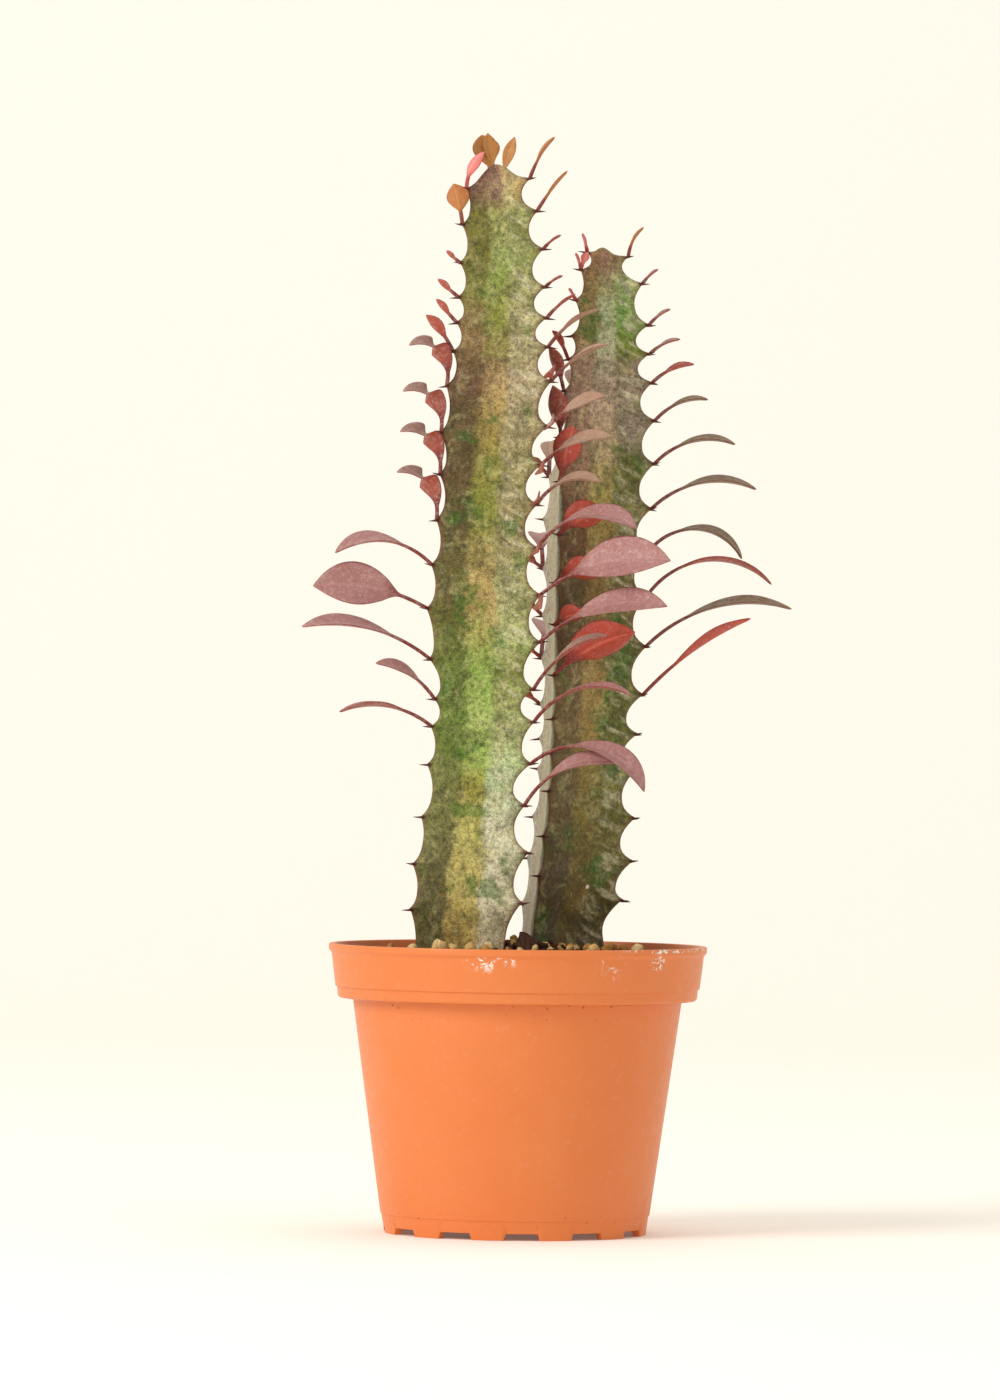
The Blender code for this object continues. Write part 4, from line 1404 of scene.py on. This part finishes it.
@dataclass
class Earth:
    """The potting soil with its crumbs and pale grit. A front stone is its x, y and size."""

    pot: Pot
    edge: float = 74.0
    rise: float = 5.6
    spread: float = 33.0
    rings: int = 84
    sides: int = 256
    gap: float = 0.3
    pebbles: int = 420
    crumbs: int = 900
    front_height: float = 79.6
    front_stones: tuple[tuple[float, float, float], ...] = (
        (-29.0, -27.5, 1.6), (-21.5, -31.0, 2.4), (-18.0, -30.0, 1.9), (-9.0, -28.5, 1.4),
        (-13.0, -29.0, 1.7), (21.0, -23.0, 1.7), (25.0, -22.0, 2.2), (29.0, -19.5, 1.5),
        (33.0, -16.0, 1.8), (14.0, -21.0, 1.4), (-35.0, -22.0, 1.3), (4.5, -22.5, 1.3))

    def top(self, x: Array, y: Array) -> Array:
        """The soil's height: a low mound with clods, crumbs and a dip at the wall.

        Args:
            x: places across.
            y: places from front to back.

        Returns:
            Heights.
        """
        radius = np.hypot(x, y)
        mound = self.rise * np.exp(-((radius / self.spread) ** 2))
        clods = 0.55 * waves(x, y, 11.0, 21) + 0.35 * np.abs(waves(x, y, 4.2, 22))
        crumbs = 0.22 * waves(x, y, 1.9, 23)
        calm = np.clip((49.5 - radius) / 3.0, 0.15, 1.0)
        return self.edge + mound + (clods + crumbs) * calm

    def heap(self) -> Skin:
        """The soil's closed surface, from under it up the wall and in over the top.

        Returns:
            The skin.
        """
        angles = np.arange(self.sides) * math.tau / self.sides
        circle = np.stack([np.cos(angles), np.sin(angles)], -1)
        bottom = self.pot.floor + self.pot.wall + self.gap
        low, high = self.pot.knees
        rings = []
        for height in (bottom, bottom + 1.0, *np.linspace(10.0, low, 10), high, self.edge - 3.0):
            radius = self.pot.inner_radius(height) - self.gap - (1.0 if height == bottom else 0.0)
            rings.append(np.column_stack([circle * radius, np.full(self.sides, height)]))
        rim = self.pot.inner_radius(self.edge) - self.gap
        for share in np.linspace(1.0, 0.01, self.rings):
            flat = circle * rim * share
            rings.append(np.column_stack([flat, self.top(flat[:, 0], flat[:, 1])]))
        rings = np.array(rings)
        skin = Skin()
        skin.tube(rings, tone=0.32 + 0.22 * waves(rings[..., 0], rings[..., 1], 6.0, 24))
        return skin

    def scatter(self, draw: np.random.Generator, count: int, stems: tuple[Stem, ...],
                smallest: float, largest: float) -> tuple[Array, Array]:
        """Picks places on the soil that keep clear of the stems and the wall.

        Args:
            draw: the random numbers.
            count: how many places to try.
            stems: stems to keep clear of.
            smallest: least radius of a stone.
            largest: greatest radius of a stone.

        Returns:
            Middles (stone, 3) and radii (stone).
        """
        size = smallest + (largest - smallest) * draw.random(count) ** 2.5
        reach = 48.0 * np.sqrt(draw.random(count)) * np.where(draw.random(count) < 0.5, 0.7, 1.0)
        angle = draw.uniform(0, math.tau, count)
        x, y = reach * np.cos(angle), reach * np.sin(angle)
        free = reach + size < 48.6
        for stem in stems:
            axis_x, axis_y, radius, _ = (v[0] for v in stem.axis(np.array([79.0])))
            free &= np.hypot(x - axis_x, y - axis_y) > radius * 0.62 + size
        x, y, size = x[free], y[free], size[free]
        return np.stack([x, y, self.top(x, y) + size * 0.35], -1), size

    def stones(self, draw: np.random.Generator, middles: Array, sizes: Array, skin: Skin,
               round_form: Array, triangles: Array) -> None:
        """Adds stones: a round form, each squashed, dented and turned its own way.

        Args:
            draw: the random numbers.
            middles: their middles.
            sizes: their radii.
            skin: what they are added to.
            round_form: points of a round form of radius 1.
            triangles: its triangles.
        """
        count = len(sizes)
        dents = 1 + draw.uniform(-0.22, 0.16, (count, len(round_form), 1))
        squash = draw.uniform(0.62, 1.15, (count, 1, 3))
        shapes = round_form[None] * dents * squash * sizes[:, None, None]
        turns, _ = np.linalg.qr(draw.normal(size=(count, 3, 3)))
        turns[:, :, 0] *= np.sign(np.linalg.det(turns))[:, None]
        shapes = np.einsum("nij,npj->npi", turns, shapes) + middles[:, None]
        skin.copies(shapes, triangles, tone=draw.random(count))

    def build(self, effects: Effects, stems: tuple[Stem, ...]) -> None:
        """Makes the soil, its crumbs and its grit.

        Args:
            effects: the shared groups.
            stems: stems that the grit keeps clear of.
        """
        self.heap().piece("soil_heap", POTTING_MIX.build(effects), "potting_soil", "soil")
        form, triangles = round_form(1)
        draw = np.random.default_rng(5)
        pebbles = Skin()
        middles, sizes = self.scatter(draw, self.pebbles, stems, 0.7, 1.9)
        self.stones(draw, middles, sizes, pebbles, form, triangles)
        front = np.array(self.front_stones)
        middles = np.column_stack([front[:, :2], np.full(len(front), self.front_height)])
        self.stones(draw, middles, front[:, 2], pebbles, form, triangles)
        pebbles.piece("grit_pale", GRIT_STONE.build(effects), "potting_soil")
        form, triangles = round_form(0)
        crumbs = Skin()
        middles, sizes = self.scatter(draw, self.crumbs, stems, 0.4, 1.3)
        self.stones(draw, middles, sizes, crumbs, form, triangles)
        crumbs.piece("soil_crumbs", POTTING_MIX.build(effects), "potting_soil")


def round_form(divisions: int) -> tuple[Array, Array]:
    """A ball of 20 triangles, each cut in four as many times as asked and pushed out round.

    Args:
        divisions: how many times the triangles are cut.

    Returns:
        Points of radius 1 and triangles that face outwards.
    """
    long = (1 + math.sqrt(5)) / 2
    points = np.array([(-1, long, 0), (1, long, 0), (-1, -long, 0), (1, -long, 0), (0, -1, long),
                       (0, 1, long), (0, -1, -long), (0, 1, -long), (long, 0, -1), (long, 0, 1),
                       (-long, 0, -1), (-long, 0, 1)], float)
    points /= np.linalg.norm(points, axis=1, keepdims=True)
    faces = np.array([(0, 11, 5), (0, 5, 1), (0, 1, 7), (0, 7, 10), (0, 10, 11), (1, 5, 9), (5, 11, 4),
                      (11, 10, 2), (10, 7, 6), (7, 1, 8), (3, 9, 4), (3, 4, 2), (3, 2, 6), (3, 6, 8),
                      (3, 8, 9), (4, 9, 5), (2, 4, 11), (6, 2, 10), (8, 6, 7), (9, 8, 1)])
    for _ in range(divisions):
        a, b, c = (points[faces[:, i]] for i in range(3))
        middles = np.concatenate([a + b, b + c, c + a])
        corners = np.concatenate([a, b, c, middles / np.linalg.norm(middles, axis=1, keepdims=True)])
        n = len(faces)
        i = np.arange(n)
        ab, bc, ca = i + 3 * n, i + 4 * n, i + 5 * n
        split = np.concatenate([np.stack(t, -1) for t in
                                ((i, ab, ca), (ab, i + n, bc), (ca, bc, i + 2 * n), (ab, bc, ca))])
        points, same = np.unique(np.round(corners, 6), axis=0, return_inverse=True)
        faces = same.reshape(-1)[split]
    return points, faces


@dataclass
class DriedStub:
    """The dried-up foot of a shoot: a small dark leaning knob with torn edges."""

    x: float = 3.2
    y: float = -15.0
    rows: tuple[tuple[float, float, float], ...] = (
        (74.0, 2.0, 0.0), (76.0, 2.5, 0.0), (78.0, 2.9, 0.0), (79.5, 2.8, -0.3), (81.0, 2.4, -0.8),
        (82.3, 1.9, -1.2), (83.3, 1.3, -1.7), (84.0, 0.6, -2.2))

    def build(self, effects: Effects) -> None:
        """Makes the knob: rings whose radius is uneven by a sum of sines of the turn.

        Args:
            effects: the shared groups.
        """
        turn = np.radians(np.arange(40) * 9.0)
        rows = np.array(self.rows)
        heights = np.linspace(rows[0, 0], rows[-1, 0], 30)
        radius = np.interp(heights, rows[:, 0], rows[:, 1])[:, None]
        lean = np.interp(heights, rows[:, 0], rows[:, 2])[:, None]
        uneven = 1 + 0.14 * np.sin(turn * 5 + heights[:, None]) + 0.09 * np.sin(turn * 9 - heights[:, None])
        rings = np.stack([self.x + lean + radius * uneven * np.cos(turn),
                          self.y + radius * uneven * np.sin(turn),
                          np.broadcast_to(heights[:, None], uneven.shape)], -1)
        skin = Skin()
        share = (heights - heights[0]) / (heights[-1] - heights[0])
        skin.tube(rings, along=share[:, None])
        finish = HornFinish("dried_bark", (0.34, 0.20, 0.13), (0.24, 0.14, 0.09), 0.70)
        skin.piece("dried_stub_knob", finish.build(effects), "dried_stem", "dried_stub")


# ---------------------------------------------------------------- studio


@dataclass
class Studio:
    """The pale sweep that the pot stands on, the soft lights and the camera."""

    eye: float = 0.1408
    distance: float = 2.2
    frame_height: float = 0.3889
    aim_x: float = -0.0057
    aim_z: float = 0.1479
    aim_lamps: float = 0.15
    tilt: float = 0.0117
    air: Colour = (1.0, 0.985, 0.955)
    air_strength: float = 0.62
    sweep: Colour = (0.985, 0.97, 0.935)
    glow: float = 0.09

    def floor(self) -> None:
        """A floor that curves up into a backdrop: a straight run, a quarter circle, a straight rise."""
        turn = np.linspace(0.0, math.pi / 2, 24)
        radius, start = 0.9, 1.3
        depth = np.concatenate([[-4.0], start + radius * np.sin(turn), [start + radius]])
        height = np.concatenate([[0.0], radius - radius * np.cos(turn), [5.0]])
        width = np.array([-5.0, 5.0])
        points = np.stack(np.broadcast_arrays(width[None], depth[:, None], height[:, None]), -1)
        mesh = bpy.data.meshes.new("studio_sweep")
        index = np.arange(len(depth) * 2).reshape(-1, 2)
        faces = np.stack([index[:-1, 0], index[:-1, 1], index[1:, 1], index[1:, 0]], -1)
        mesh.from_pydata(points.reshape(-1, 3).tolist(), [], faces.tolist())
        mesh.shade_smooth()
        material, _, shader = new_finish("studio_paper", 0.0)
        paper = linear(self.sweep)
        for socket, value in (("Base Color", paper), ("Roughness", 1.0), ("Emission Color", paper),
                              ("Emission Strength", self.glow)):
            shader.inputs[socket].default_value = value
        mesh.materials.append(material)
        obj = bpy.data.objects.new("studio_sweep", mesh)
        bpy.context.scene.collection.objects.link(obj)

    def light(self, name: str, place: tuple[float, float, float], size: float, power: float,
              colour: Colour) -> None:
        """Hangs a square soft light that faces the plant.

        Args:
            name: its name.
            place: where it hangs, in metres.
            size: its side, in metres.
            power: its power, in watts.
            colour: its colour.
        """
        lamp = bpy.data.lights.new(name, "AREA")
        lamp.size = size
        lamp.energy = power
        lamp.color = colour
        obj = bpy.data.objects.new(name, lamp)
        obj.location = place
        level = math.hypot(place[0], place[1])
        obj.rotation_euler = (math.atan2(level, place[2] - self.aim_lamps), 0.0,
                              math.atan2(place[1], place[0]) + math.pi / 2)
        bpy.context.scene.collection.objects.link(obj)

    def camera(self) -> None:
        """A long lens at the height of the plant's middle, level, with a slight roll."""
        camera = bpy.data.cameras.new("camera")
        camera.sensor_fit = "VERTICAL"
        camera.sensor_height = 36.0
        camera.lens = 36.0 * self.distance / self.frame_height
        camera.shift_y = (self.aim_z - self.eye) / self.frame_height
        camera.clip_end = 50.0
        obj = bpy.data.objects.new("camera", camera)
        obj.location = (self.aim_x + pot_axis()[0], -self.distance, self.eye)
        obj.rotation_euler = (math.pi / 2, -self.tilt, 0.0)
        bpy.context.scene.collection.objects.link(obj)
        bpy.context.scene.camera = obj

    def build(self) -> None:
        """Sets up the sweep, lights, world and camera."""
        self.floor()
        for lamp in (("key", (-1.7, -1.3, 1.3), 1.1, 34.0, (1.0, 0.98, 0.95)),
                     ("fill", (1.9, -1.5, 1.0), 1.6, 4.0, (1.0, 0.96, 0.90)),
                     ("top", (0.2, 0.5, 2.3), 1.6, 8.0, (1.0, 0.98, 0.95))):
            self.light(*lamp)
        world = bpy.data.worlds.new("studio_air")
        world.use_nodes = True
        background = world.node_tree.nodes["Background"]
        background.inputs["Color"].default_value = (*self.air, 1.0)
        background.inputs["Strength"].default_value = self.air_strength
        bpy.context.scene.world = world
        bpy.context.scene.view_settings.view_transform = "Standard"
        self.camera()


# ---------------------------------------------------------------- whole


def main() -> None:
    """Builds the studio, then the pot, the soil and the plant, and logs every piece."""
    logging.basicConfig(level=logging.INFO, format="%(name)s: %(message)s")
    effects = Effects()
    Studio().build()
    pot = Pot()
    pot.build(PotFinish().build(effects))
    stems = (TALL_STEM, SHORT_STEM)
    Earth(pot).build(effects, stems)
    DriedStub().build(effects)
    horn = HornFinish("spine_horn", (0.46, 0.22, 0.16), (0.20, 0.09, 0.07)).build(effects)
    foliage = Foliage(effects)
    for stem in stems:
        stem.build(effects, horn)
        foliage.build(stem)


if __name__ == "__main__":
    main()
